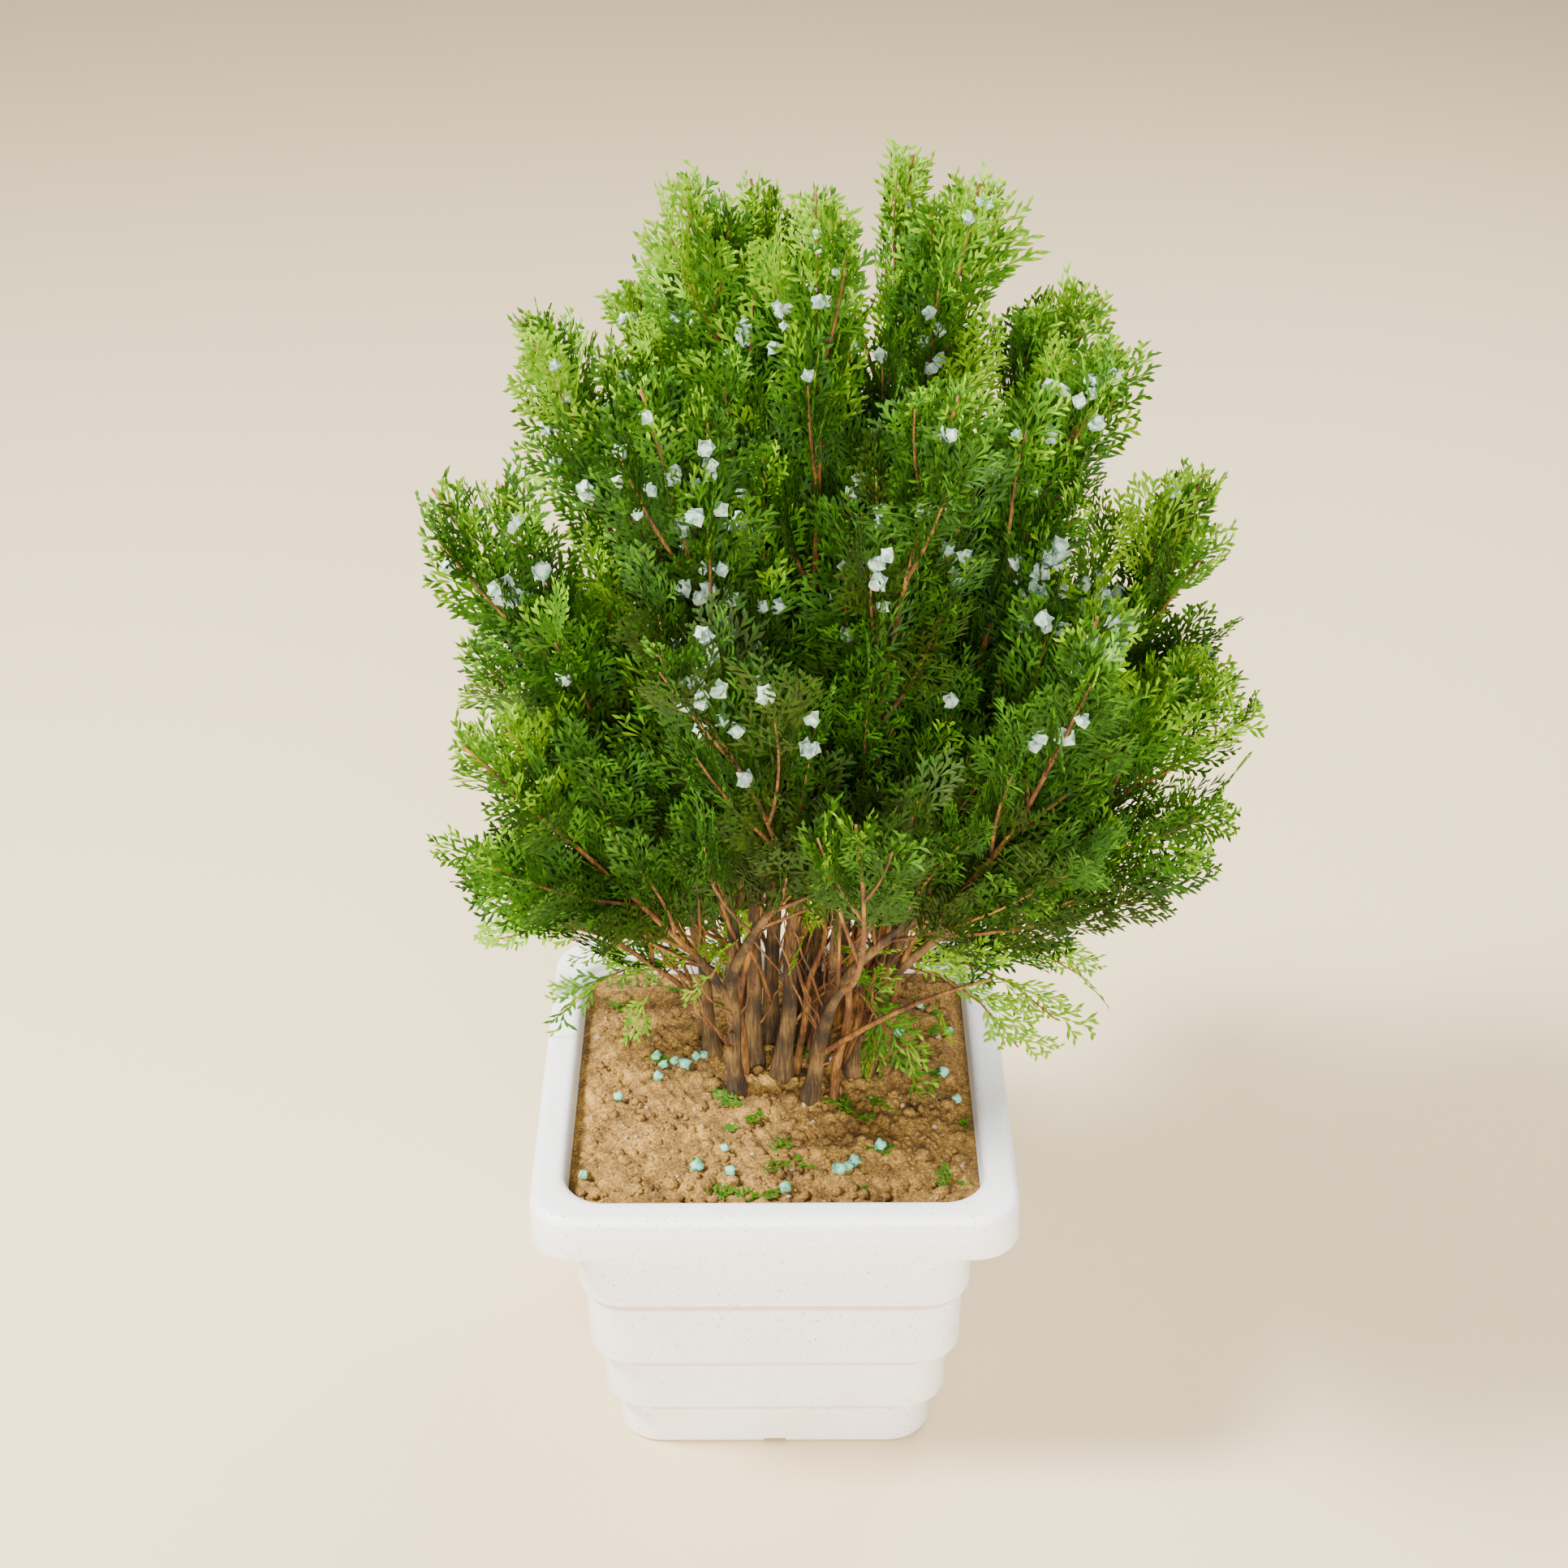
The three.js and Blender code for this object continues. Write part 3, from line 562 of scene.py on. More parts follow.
def drill_drains(pot):
    """Cuts four round drain holes through the floor, one in each groove."""
    circle = around(np.linspace(0, 2 * pi, DRAIN_SIDES, endpoint=False), DRAIN_RADIUS)
    holes = []
    for x, y in ((1, 0), (0, 1), (-1, 0), (0, -1)):
        ends = [circle + (x * DRAIN_REACH, y * DRAIN_REACH, z) for z in (-5, 2 * FLOOR)]
        holes.append(loft(np.stack(ends)))
    tool = add_piece("drain_cut", joined(holes), pot.data.materials[0])
    cut = pot.modifiers.new("drains", "BOOLEAN")
    cut.operation, cut.solver, cut.object = "DIFFERENCE", "EXACT", tool
    shape = bpy.data.meshes.new_from_object(pot.evaluated_get(bpy.context.evaluated_depsgraph_get()))
    pot.modifiers.clear()
    pot.data = shape
    bpy.data.objects.remove(tool)
    shape.set_sharp_from_angle(angle=radians(38))


# ---- The soil ----


def lumps(x, y, size, seed):
    """Smooth unevenness from -1 to 1: six waves of about one length in random directions, added."""
    rng = np.random.default_rng(seed)
    turn, phase = rng.uniform(0, 2 * pi, (2, 6))
    length = size * rng.uniform(0.7, 1.5, 6)
    waves = [np.sin((x * cos(a) + y * sin(a)) * 2 * pi / s + p) for a, s, p in zip(turn, length, phase)]
    return sum(waves) / 3


def soil_height(x, y, edge):
    """The soil's level: it rises from the wall to the stems, in lumps of four sizes that fade at the wall."""
    share = np.maximum(np.abs(x), np.abs(y)) / edge
    rise = np.clip((1 - share) / 0.42, 0, 1)
    fade = np.clip((1 - share) / 0.06, 0, 1)
    rough = sum(height * lumps(x, y, size, seed) for height, size, seed in SOIL_LUMPS)
    return SOIL_EDGE - 0.8 + (SOIL_TOP - SOIL_EDGE) * rise**0.8 + fade * rough


def make_soil(material):
    """Earth that fills the pot: rounded squares from a shallow edge under the surface inwards."""
    below, above = STEPS[0][0] / 2 - WALL, RIM_OPENING / 2
    share = (SOIL_EDGE - POT_HEIGHT + RIM_HEIGHT) / (RIM_HEIGHT - 2 * RIM_ROUND)
    edge = below + (above - below) * share - TOUCH
    halves = np.concatenate([[edge - 3, edge - 1.0], np.linspace(edge, edge * 0.02, 110)])
    corners = np.minimum(INSIDE_CORNER, halves * 0.9)
    rings = fine_rings(halves, corners, 90)
    rings[:, :, 2] = soil_height(rings[..., 0], rings[..., 1], edge)
    rings[0, :, 2], rings[1, :, 2] = SOIL_EDGE - 26, SOIL_EDGE - 16
    add_piece("soil_earth", loft(rings), material, ["soil"])
    return edge


def fine_rings(halves, corners, per_side):
    """Rounded squares with even directions, each carried out to the straight side or, past its end, to the
    corner's circle, at the distance d.c + sqrt((d.c)^2 - c.c + r^2) for a middle c."""
    way = around(np.linspace(0, 2 * pi, 4 * per_side, endpoint=False))
    major, minor = np.abs(way[:, :2]).max(1), np.abs(way[:, :2]).min(1)
    half, corner = halves[:, None], corners[:, None]
    straight = half / major
    middle = half - corner
    along = middle * (major + minor)
    rounded_off = along + np.sqrt(np.clip(along**2 - 2 * middle**2 + corner**2, 0, None))
    return np.where(straight * minor > middle, rounded_off, straight)[..., None] * way


def pebble_mesh(seed):
    """A small lump: two rings of six points between two ends, moved in and out."""
    rng = np.random.default_rng(seed)
    ring = np.radians(np.arange(0, 360, 60))
    points, faces = loft(np.stack([around(ring, 1, -0.35), around(ring + 0.5, 0.75, 0.45)]))
    points[0, 2], points[-1, 2] = -0.7, 0.75
    return points * rng.uniform(0.75, 1.15, (len(points), 1)), faces


def scatter(mesh, places, sizes, rng, flatness=1.0):
    """Copies of a small mesh at many places, each with its own turn, size and stretch."""
    points, faces = mesh
    turn = rng.uniform(0, 2 * pi, len(places))
    c, s = np.cos(turn)[:, None], np.sin(turn)[:, None]
    stretch = rng.uniform(0.7, 1.3, (len(places), 3))
    x, y, z = np.moveaxis(points * stretch[:, None], -1, 0)
    placed = np.stack([x * c - y * s, x * s + y * c, z * flatness], -1)
    return copies(faces, placed * sizes[:, None, None] + places[:, None])


def soil_places(number, edge, rng, reach=0.93):
    """Random places on the soil's surface, inside its edge."""
    x, y = rng.uniform(-reach, reach, (2, number)) * edge
    return np.stack([x, y, soil_height(x, y, edge)], -1)


# ---- Stems and boughs ----


def bark_tube(limb, steps, sides, relief, seed, flare=0.0, crook=0.0):
    """A tapering tube along a limb's curve, with ridges that wind as they climb. With a flare its radius
    swells at the root by 1 + flare * exp(-t / reach), and it goes straight into the soil."""
    rng = np.random.default_rng(seed)
    t = np.linspace(0, 1, steps) ** 1.1
    phase = rng.uniform(0, 2 * pi, 4)
    aside, ahead = np.sin(9 * t + phase[0]) + np.sin(21 * t + phase[1]), np.sin(11 * t + phase[2])
    sway = np.stack([aside, ahead, 0 * t], -1)
    middle, axis = curve_at(limb["curve"], t)
    middle = middle + crook * np.sin(pi * t)[:, None] * sway
    if flare:
        axis[0] = UP
        middle[0] -= UP * FOOT_DEPTH
    angle = np.arange(sides) / sides * 360
    spokes = spoke_round(np.repeat(axis[:, None], sides, 1), np.broadcast_to(angle, (steps, sides)))
    a, height = np.radians(angle)[None], t[:, None]
    ridges = sum(
        np.sin(k * a + rng.uniform(2, 9) * height + rng.uniform(0, 6.3)) / k**0.5 for k in (2, 3, 5, 7)
    )
    knots = np.sin(a + rng.uniform(0, 6.3)) * np.sin(height * rng.uniform(18, 30) + rng.uniform(0, 6.3))
    first, last = limb["radii"]
    radius = (first + (last - first) * height) * (1 + flare * np.exp(-height / FLARE_REACH))
    radius = radius * (1 + relief * (0.35 * ridges + 0.3 * knots))
    return loft(middle[:, None] + spokes * radius[..., None])


def make_limbs(stems, boughs, bark):
    trunks = [bark_tube(stem, 70, 18, 0.18, 40 + k, ROOT_FLARE, 1.5) for k, stem in enumerate(stems)]
    add_piece("stems_bark", joined(trunks), bark, nodes_of("stem_"))
    arms = [bark_tube(bough, 26, 10, 0.12, 80 + k) for k, bough in enumerate(boughs)]
    add_piece("boughs_bark", joined(arms), bark, nodes_of("bough_"))


def bare_twigs(stems, rng):
    """Thin leafless twigs that leave the stems and bend upwards, and young stems between them."""
    tubes = []
    for stem in stems:
        for _ in range(TWIGS_PER_STEM):
            t = rng.uniform(0.06, 0.55)
            root, axis = curve_at(stem["curve"], t)
            out = unit(axis * 0.8 + spoke_round(axis, rng.uniform(0, 360)) * rng.uniform(0.35, 0.75))
            length = rng.uniform(45, 130) * (1 - 0.4 * t)
            bend = root + out * length * 0.5
            end = bend + unit(out + UP * 0.8) * length * 0.5
            twig = dict(curve=(root, bend, end), radii=(rng.uniform(0.7, 1.4), 0.4))
            tubes.append(bark_tube(twig, 9, 5, 0.0, rng.integers(99), 0.0, 1.6))
    for _ in range(YOUNG_STEMS):
        turn, reach = rng.uniform(0, 360), rng.uniform(10, 58)
        foot = place_at(CLUMP, turn, reach, -1.5)
        end = place_at(CROWN, turn + rng.uniform(-20, 20), reach * 1.6 + 14, rng.uniform(190, 300))
        bend = (foot + end) / 2 + UP * 30
        stem = dict(curve=(foot, bend, end), radii=(rng.uniform(2.0, 3.4), 0.9))
        tubes.append(bark_tube(stem, 22, 8, 0.14, rng.integers(99), 0.3, 3.0))
    return tubes


# ---- Foliage ----

SIDE_LEADERS = 8
SIDE_SPAN = (0.04, 0.72)
INNER_REACH = 170  # length of the shoots inside the crown
INNER_SPREAD, SPRIG_SPREAD = 50, 60
SPRAY_STRETCH = 1.32  # side shoots are longer than the source's sprays, which are solid
SHRINKS = (1.0, 0.85, 0.7, 0.55, 0.4)
TIP_FAN = 34  # how far below the tip of a shoot the fan starts that carries it on
PAST_TIP = 3  # how far a fan may reach past its mass's tip
TIP_RADIUS = 17  # how wide a mass is at its tip
BARE_HEIGHT = 150  # how far up the limbs carry no leaves
# How far fans reach into the next space and turn from standing on edge, and how a mass widens below its tip.
INTERLEAVE = {"top": -4, "shoulder": 4, "flank": 16, "skirt": 16}
EDGE_SPREAD = {"top": 40, "shoulder": 50, "flank": 75, "skirt": 90}
TIP_TAPER = {"top": 0.42, "shoulder": 1.1, "flank": 1.8, "skirt": 2}
BARE_FOOT = 46  # radius round the foot that stays open, and half width of the open front
BARE_TOP = 124  # height up to which the stems show
BARE_RISE = 0.61  # how fast the open front's upper edge climbs forwards
INSIDE, FREE = -1, -2  # in place of a mass's number: for shoots inside the crown, and sprigs out of it
CLEFT = (54, 440, 3, 0.035)  # gap of the middle spires: place, foot, half width and opening
BRANCHLET_STEP = 6.2  # distance between the branchlets on a fan's rib
TWIGLET_STEP = 3.3
LEAF_WIDTH = 2.4
FAN_LENGTHS = (26, 38, 52, 68, 84)  # lengths that are drawn; others are scaled from them
FAN_KINDS = 3
FAN_STEPS = {  # distance between fans, the longest one, and where along its carrier the first one stands
    "leader": (10, 74, 0.06), "low leader": (14, 74, 0.06), "shoot": (8.7, 68, 0.12), "sprig": (13, 46, 0.42),
}
GREENS = {  # four lit and shaded copies of one green, as painted light and shade; the darker and paler fleck colour of each
    "deep": ("#1B2C01", "#304402"), "middle": ("#193601", "#294C02"), "half_lit": ("#284F01", "#406D02"),
    "bright": ("#4D7C01", "#81AA06"),
}
GREEN_SHARES = (0.24, 0.7, 0.925)  # how much of the crown is at most as light as the first three
TONE_SPREAD = 0.32  # how much the side shoots of one mass differ
LEAST_TONE = -0.2  # and how much darker than the mass one of them is at most
MASS_LIGHT_SHIFTS = {  # how much lighter or darker some masses are painted than the rest, as painted light and painted shade
    "shoulder_1": -0.25, "shoulder_2": -0.45, "flank_1": -0.5, "flank_4": 0.6, "flank_12": 0.35,
    "skirt_1": 0.35, "skirt_2": 0.5, "skirt_5": 0.5,
}
YOUNG_AND_LIT_FROM, YOUNG_AND_LIT_SHARE = 0.78, 0.5  # half of the leaves at a fan's tip are one green brighter: partly paler young growth, partly painted light on the sunlit tips
PIECE_FACES = 190000
SPRIGS_BRIGHT = 100  # the sprigs that end in front of this are in full light
SPRIG_TONES = (1.9, 0.4)  # how light those are, and the ones behind
LOW_SPRIGS = [  # ends of the sprigs, and how far they arch up
    (-139, 34, 252, 52), (-190, 78, 276, 40), (-112, 84, 262, 46), (202, 48, 268, 64), (156, -10, 254, 74),
    (81, -38, 252, 70), (182, 8, 262, 66), (62, -8, 262, 84), (-38, -62, 346, 70), (20, -44, 366, 70),
    (104, 20, 268, 80), (-84, 30, 262, 60), (120, 128, 262, 56), (-40, 150, 262, 54), (60, 160, 270, 60),
    (-120, 130, 268, 50),
]
LEAF_FACES = np.array([[0, 1, 2], [0, 3, 1], [0, 2, 3], [1, 3, 2]])


def fan_drawing(length, seed):
    """The twiglets of a flat fan in its own plane, as starts and ends: a rib with branchlets to both sides in
    turn, longest a third of the way up and bent forwards, which carry twiglets in the same way."""
    rng = np.random.default_rng(seed)
    rib = np.stack([np.linspace(0, length, 5), length * 0.03 * np.sin(np.linspace(0, pi, 5))], -1)
    at = np.arange(0.14 * length, 0.95 * length, BRANCHLET_STEP)
    share = at / length
    side = np.where(np.arange(len(at)) % 2 == 0, 1.0, -1.0)
    reach = length * 0.46 * np.sin(pi * np.clip(0.2 + 0.8 * share, 0, 1)) ** 0.7 * (1.05 - 0.5 * share)
    reach = reach * rng.uniform(0.75, 1.15, len(at)) + 4
    angle = np.radians(38 - 12 * share + rng.uniform(-5, 5, len(at)))
    first, later = around(side * angle)[:, :2], around(side * (angle - 0.18))[:, :2]
    root = np.stack([at, 0 * at], -1)
    elbow = root + first * (0.55 * reach)[:, None]
    tip = elbow + later * (0.45 * reach)[:, None]
    step = np.arange(1, 16)[None] * TWIGLET_STEP
    along = step / reach[:, None]
    kept = along < 0.9
    forks = np.where(np.round(step / TWIGLET_STEP) % 2 == 1, 1.0, -1.0)
    twig_angle = (angle * side)[:, None] + forks * side[:, None] * radians(31) - 0.12 * side[:, None]
    twig_length = np.minimum(11, 5.2 + 0.3 * (1 - along) * reach[:, None])
    twig_length = twig_length * rng.uniform(0.75, 1.2, along.shape)
    before = root[:, None] + first[:, None] * step[..., None]
    beyond = elbow[:, None] + later[:, None] * (step - 0.55 * reach[:, None])[..., None]
    fork = np.where((along < 0.55)[..., None], before, beyond)
    twiglet = fork + around(twig_angle)[..., :2] * twig_length[..., None]
    starts = np.concatenate([rib[:-1], root, elbow, fork[kept]])
    return starts, np.concatenate([rib[1:], elbow, tip, twiglet[kept]])


def leaf_points(starts, ends, normals):
    """A slim closed blade of four faces for each twiglet: its two ends, and two edges where it is widest."""
    way = ends - starts
    side = unit(np.cross(normals, way)) * LEAF_WIDTH / 2
    widest = starts + 0.6 * way - normals * LEAF_WIDTH * 0.3
    return np.stack([starts - 0.15 * way, ends, widest + side, widest - side], -2)


def fan_segments(fans):
    """The leaves of many fans in space, with each one's fan and its place from root to tip. A drawing is
    scaled to the fan's length, curled by the square of the distance and twisted about its rib."""
    found = []
    nearest = np.abs(fans["length"][:, None] - np.array(FAN_LENGTHS)).argmin(1)
    for size_number, size in enumerate(FAN_LENGTHS):
        for kind in range(FAN_KINDS):
            chosen = np.flatnonzero((nearest == size_number) & (fans["kind"] == kind))
            if len(chosen) == 0:
                continue
            starts, ends = fan_drawing(size, 100 * size_number + kind)
            keys = ("root", "along", "normal", "length", "curl", "sway", "twist")
            root, along, normal, length, curl, sway, twist = (fans[key][chosen][:, None] for key in keys)
            scale = length / size
            across = np.cross(normal, along)

            def placed(flat):
                u, v = flat[None, :, 0] * scale, flat[None, :, 1] * scale
                share = u / (size * scale)
                v = v + sway * share**2
                w = curl * share**2 + twist * share * v + 0.06 * np.abs(v)
                return root + along * u[..., None] + across * v[..., None] + normal * w[..., None]

            number = np.broadcast_to(chosen[:, None], (len(chosen), len(starts)))
            tipness = np.broadcast_to(ends[None, :, 0] / size, number.shape)
            facing = unit(normal - across * (twist * tipness)[..., None])
            leaves = leaf_points(placed(starts), placed(ends), facing)
            found.append((leaves.reshape(-1, 4, 3), number.ravel(), tipness.ravel()))
    return [np.concatenate(parts) for parts in zip(*found)]


def line_distances(points, starts, ends):
    """Distances of points from the straight lines between starts and ends, as points by lines."""
    way = ends - starts
    share = np.einsum("pld,ld->pl", points[:, None] - starts, way) / (way**2).sum(-1)
    nearest = starts + np.clip(share, 0, 1)[..., None] * way
    return np.linalg.norm(points[:, None] - nearest, axis=-1)


class Crown:
    """The spaces of the masses and the limbs between them, to test what a fan would leave or touch."""

    def __init__(self, masses, limbs):
        self.starts = np.array([mass["base"] for mass in masses])
        self.ends = np.array([mass["tip"] for mass in masses])
        self.onward = np.array([curve_at(mass["leader"]["curve"], 1.0)[1] for mass in masses])
        self.interleave = [INTERLEAVE[mass["storey"]] for mass in masses]
        self.taper = np.array([TIP_TAPER[mass["storey"]] for mass in masses])
        lines = [curve_at(limb["curve"], np.linspace(0, 1, 9))[0] for limb in limbs]
        self.limb_starts = np.concatenate([line[:-1] for line in lines])
        self.limb_ends = np.concatenate([line[1:] for line in lines])
        self.low = np.array(CAD_BOX[0]) / MM + 1
        self.high = np.array(CAD_BOX[1]) / MM - 1

    def fits(self, points, mass_number):
        """Whether points lie in a mass's space (INSIDE: anywhere in the crown), short of its tip, clear of
        every limb and inside the part's box, which is all that a FREE sprig has to keep."""
        inside = ((points > self.low) & (points < self.high)).all(1)
        if mass_number == FREE:
            return inside
        apart = line_distances(points, self.starts, self.ends)
        nearest = apart.argmin(1)
        own = True
        if mass_number >= 0:
            others = np.delete(apart, mass_number, 1).min(1)
            own = apart[:, mass_number] < others + self.interleave[mass_number]
        past = ((points - self.ends[nearest]) * self.onward[nearest]).sum(1)
        pointed = apart.min(1) < TIP_RADIUS - self.taper[nearest] * np.minimum(past, 0)
        clear = line_distances(points, self.limb_starts, self.limb_ends).min(1) > LIMB_GAP + 3
        return own & (past < PAST_TIP) & pointed & clear & inside & ~left_open(points)


def left_open(points):
    """Where nothing grows: round the bare stems and in front of them, and in the cleft between two spires."""
    x, y, height = points[:, 0], points[:, 1], points[:, 2] - SOIL_TOP
    aside = np.abs(x - CLUMP[0])
    ahead = np.clip(CLUMP[1] - y, 0, None)
    low = height < BARE_TOP + BARE_RISE * ahead - 0.8 * np.clip(aside - BARE_FOOT, 0, None)
    near = (y < CLUMP[1]) | (np.hypot(x - CLUMP[0], y - CLUMP[1]) < BARE_FOOT)
    place, foot, width, opening = CLEFT
    above = height + BARE_RISE * y - foot
    return (low & near) | ((above > 0) & (np.abs(x - place) < width + opening * above))


def branch_from(roots, axes, turn, angle):
    """Directions that leave unit axes at an angle, on the side given by a turn, and bend upwards, more so
    towards the plant's top."""
    side = spoke_round(axes, turn)
    angle = np.radians(angle)[..., None]
    lift = np.interp(roots[..., 2], LIFT_HEIGHTS, SPRAY_LIFT)[..., None]
    return unit(axes * np.cos(angle) + side * np.sin(angle) + UP * lift)


def side_shoots(limb, t, first_turn, length, number, crown, rng):
    """Upright side branches of a leader or limb, by the rule of the source's sprays: the golden angle apart,
    bent back to its way, and shortened until they fit."""
    root, onward = curve_at(limb["curve"], t)
    turn = first_turn + GOLDEN_ANGLE * np.arange(len(t))
    out = branch_from(root, onward, turn, rng.uniform(*SPRAY_ANGLES, len(t)) - SPRAY_CLOSING * t)
    length = length * rng.uniform(0.85, 1.15, len(t)) * (1 - 0.3 * t)
    made = []
    for k in range(len(t)):
        for shrink in SHRINKS:
            reach = length[k] * shrink
            bend = root[k] + out[k] * reach * 0.5
            end = bend + unit(out[k] * 0.35 + onward[k] * 0.65) * reach * 0.5
            if crown.fits(np.stack([end, bend]), number).all():
                made.append(dict(curve=(root[k], bend, end), radii=(1.6 - 0.6 * t[k], 0.6), from_t=t[k]))
                break
    return made


def flat_sides(along, turn):
    """Which way fans turn their flat: they stand on edge, turned a little about their own line."""
    level = unit(np.cross(along, UP) + 1e-6)
    return turned(level, along, turn)


def plume_fans(plume, number, crown, rng, kind, spread, tone=0.0, to_tip=False):
    """Fans all round a leader or side shoot, the golden angle apart and smaller towards its end, and one on
    its tip. A fan that would leave the space or touch a limb is shortened or left out."""
    step, longest, first_t = FAN_STEPS[kind]
    length = np.linalg.norm(plume["curve"][2] - plume["curve"][0])
    count = max(3, int(length * (0.97 - first_t) / step))
    t = np.append(np.linspace(first_t, 0.96, count), 1 - min(0.9, TIP_FAN / length))
    root, onward = curve_at(plume["curve"], t)
    turn = rng.uniform(0, 360) + GOLDEN_ANGLE * np.arange(count + 1) + rng.uniform(-14, 14, count + 1)
    along = branch_from(root, onward, turn, rng.uniform(12, 33, count + 1))
    along[-1] = onward[-1]
    size = longest * (1 - 0.34 * t) * rng.uniform(0.82, 1.12, count + 1)
    size[-1] = max(24.0, np.linalg.norm(plume["curve"][2] - root[-1]))
    normal = flat_sides(along, rng.uniform(-spread, spread, count + 1))
    across = np.cross(normal, along)
    fitting = np.zeros(count + 1)
    for shrink in reversed(SHRINKS):
        reach = (size * shrink)[:, None]
        middle, wing = root + along * reach * 0.6, across * reach * 0.25
        probes = np.stack([root + along * reach, middle + wing, middle - wing])
        good = crown.fits(probes.reshape(-1, 3), number).reshape(3, -1).all(0)
        fitting = np.where(good, shrink, fitting)
    if to_tip:
        fitting[-1] = 1
    kept = fitting > 0
    place = plume["from_t"] * 0.6 + t * 0.4 if "from_t" in plume else t
    tone = tone + max(rng.normal(0, TONE_SPREAD), LEAST_TONE)
    return dict(
        root=root[kept], along=along[kept], normal=normal[kept], length=(size * fitting)[kept], t=place[kept],
        tone=np.full(kept.sum(), tone),
    )


def low_sprigs():
    """Thin sprigs that leave the foot of the plant and droop over the pot's rim."""
    sprigs = []
    for *end, arch in LOW_SPRIGS:
        end = np.array(end, float)
        root = np.array([*(np.array(CLUMP) + (end[:2] - CLUMP) * 0.22), SOIL_TOP + 58.0])
        sprigs.append(dict(curve=(root, (root + end) / 2 + UP * arch, end), radii=(1.6, 0.5), from_t=0.2))
    return sprigs


def grow_crown(masses, limbs, crown, rng):
    """All the fans of the crown as arrays, and the tubes of the shoots that carry them."""
    parts, shoots, looks = [], [], {INSIDE: (INNER_SPREAD, 0.0)}
    for number, mass in enumerate(masses):
        leader = mass["leader"]
        looks[number] = EDGE_SPREAD[mass["storey"]], MASS_LIGHT_SHIFTS.get(mass["name"], 0.0)
        kind = "low leader" if mass["storey"] == "skirt" else "leader"
        parts.append(plume_fans(leader, number, crown, rng, kind, *looks[number], to_tip=True))
        t = np.linspace(*SIDE_SPAN, SIDE_LEADERS)
        side = side_shoots(leader, t, mass["first_turn"], mass["spray"] * SPRAY_STRETCH, number, crown, rng)
        shoots += [(shoot, number) for shoot in side]
    for limb in limbs:
        rise = limb["curve"][2][2] - SOIL_TOP
        start = max(0.08, (BARE_HEIGHT - (limb["curve"][0][2] - SOIL_TOP)) / rise)
        if start > 0.9:
            continue
        t = np.linspace(start, 0.97, 8)
        side = side_shoots(limb, t, rng.uniform(0, 360), INNER_REACH, INSIDE, crown, rng)
        shoots += [(shoot, INSIDE) for shoot in side]
    parts += [plume_fans(shoot, number, crown, rng, "shoot", *looks[number]) for shoot, number in shoots]
    for sprig in low_sprigs():
        tone = SPRIG_TONES[int(sprig["curve"][2][1] >= SPRIGS_BRIGHT)]
        parts.append(plume_fans(sprig, FREE, crown, rng, "sprig", SPRIG_SPREAD, tone))
        shoots.append((sprig, FREE))
    tubes = [bark_tube(mass["leader"], 12, 6, 0.05, 1) for mass in masses]
    tubes += [bark_tube(shoot, 6, 5, 0.0, 1) for shoot, _ in shoots]
    fans = {key: np.concatenate([part[key] for part in parts]) for key in parts[0]}
    size = len(fans["t"])
    fans["kind"] = rng.integers(0, FAN_KINDS, size)
    fans["curl"] = rng.uniform(-0.12, 0.12, size) * fans["length"]
    fans["sway"] = rng.uniform(-0.14, 0.14, size) * fans["length"]
    fans["twist"] = rng.normal(0, 0.5, size)
    return fans, tubes


def fan_greens(fans, rng):
    """Which green each fan has, as painted light and shade: darkest deep inside and low down, lightest at the
    crown's skin, top and tips.
    """
    tips = fans["root"] + fans["along"] * fans["length"][:, None]
    out = tips[:, :2] - np.array(CROWN)
    reach = np.linalg.norm(out, axis=1)
    height = (tips[:, 2] - SOIL_TOP) / CROWN_RISE
    widest = 215 * np.clip(1.25 - height, 0.2, 1) ** 0.5
    facing = (fans["along"][:, :2] * out).sum(1) / (reach + 1)
    # painted light: fans further out, higher, facing outwards and nearer their shoot's end get a lighter
    # green
    light_score = 0.5 * reach / widest + 1.9 * height + 0.25 * facing + 0.35 * fans["t"]
    light_score = light_score + 0.45 * tips[:, 1] / 250 + fans["tone"] + rng.normal(0, 0.1, len(reach))
    return np.digitize(light_score, np.quantile(light_score, GREEN_SHARES))


def make_foliage(fans, leaf_materials, rng):
    """The leaves of the fans, without those that would stand out of the part's box or in the pot's rim."""
    leaves, number, tipness = fan_segments(fans)
    low, high = np.array(CAD_BOX) / MM
    inside = ((leaves > low) & (leaves < high)).all((1, 2))
    off_pot = (leaves[..., 2] > POT_HEIGHT) | (np.abs(leaves[..., :2]).max(-1) > POT_WIDTH / 2)
    kept = inside & off_pot.all(1)
    leaves, number, tipness = leaves[kept], number[kept], tipness[kept]
    green = fan_greens(fans, rng)[number]
    # tips one green lighter: young growth and painted light
    young = (tipness > YOUNG_AND_LIT_FROM) & (rng.random(len(number)) < YOUNG_AND_LIT_SHARE)
    green = np.minimum(green + young, len(GREENS) - 1)
    for k, green_name in enumerate(GREENS):
        mine = leaves[green == k]
        for part, chunk in enumerate(np.array_split(mine, max(1, -(-len(mine) * 4 // PIECE_FACES)))):
            name, shape = f"leaves_{green_name}_{part + 1}", copies(LEAF_FACES, chunk)
            add_piece(name, shape, leaf_materials[k], nodes_of("foliage_"), smooth=False)


# ---- Cones and litter ----


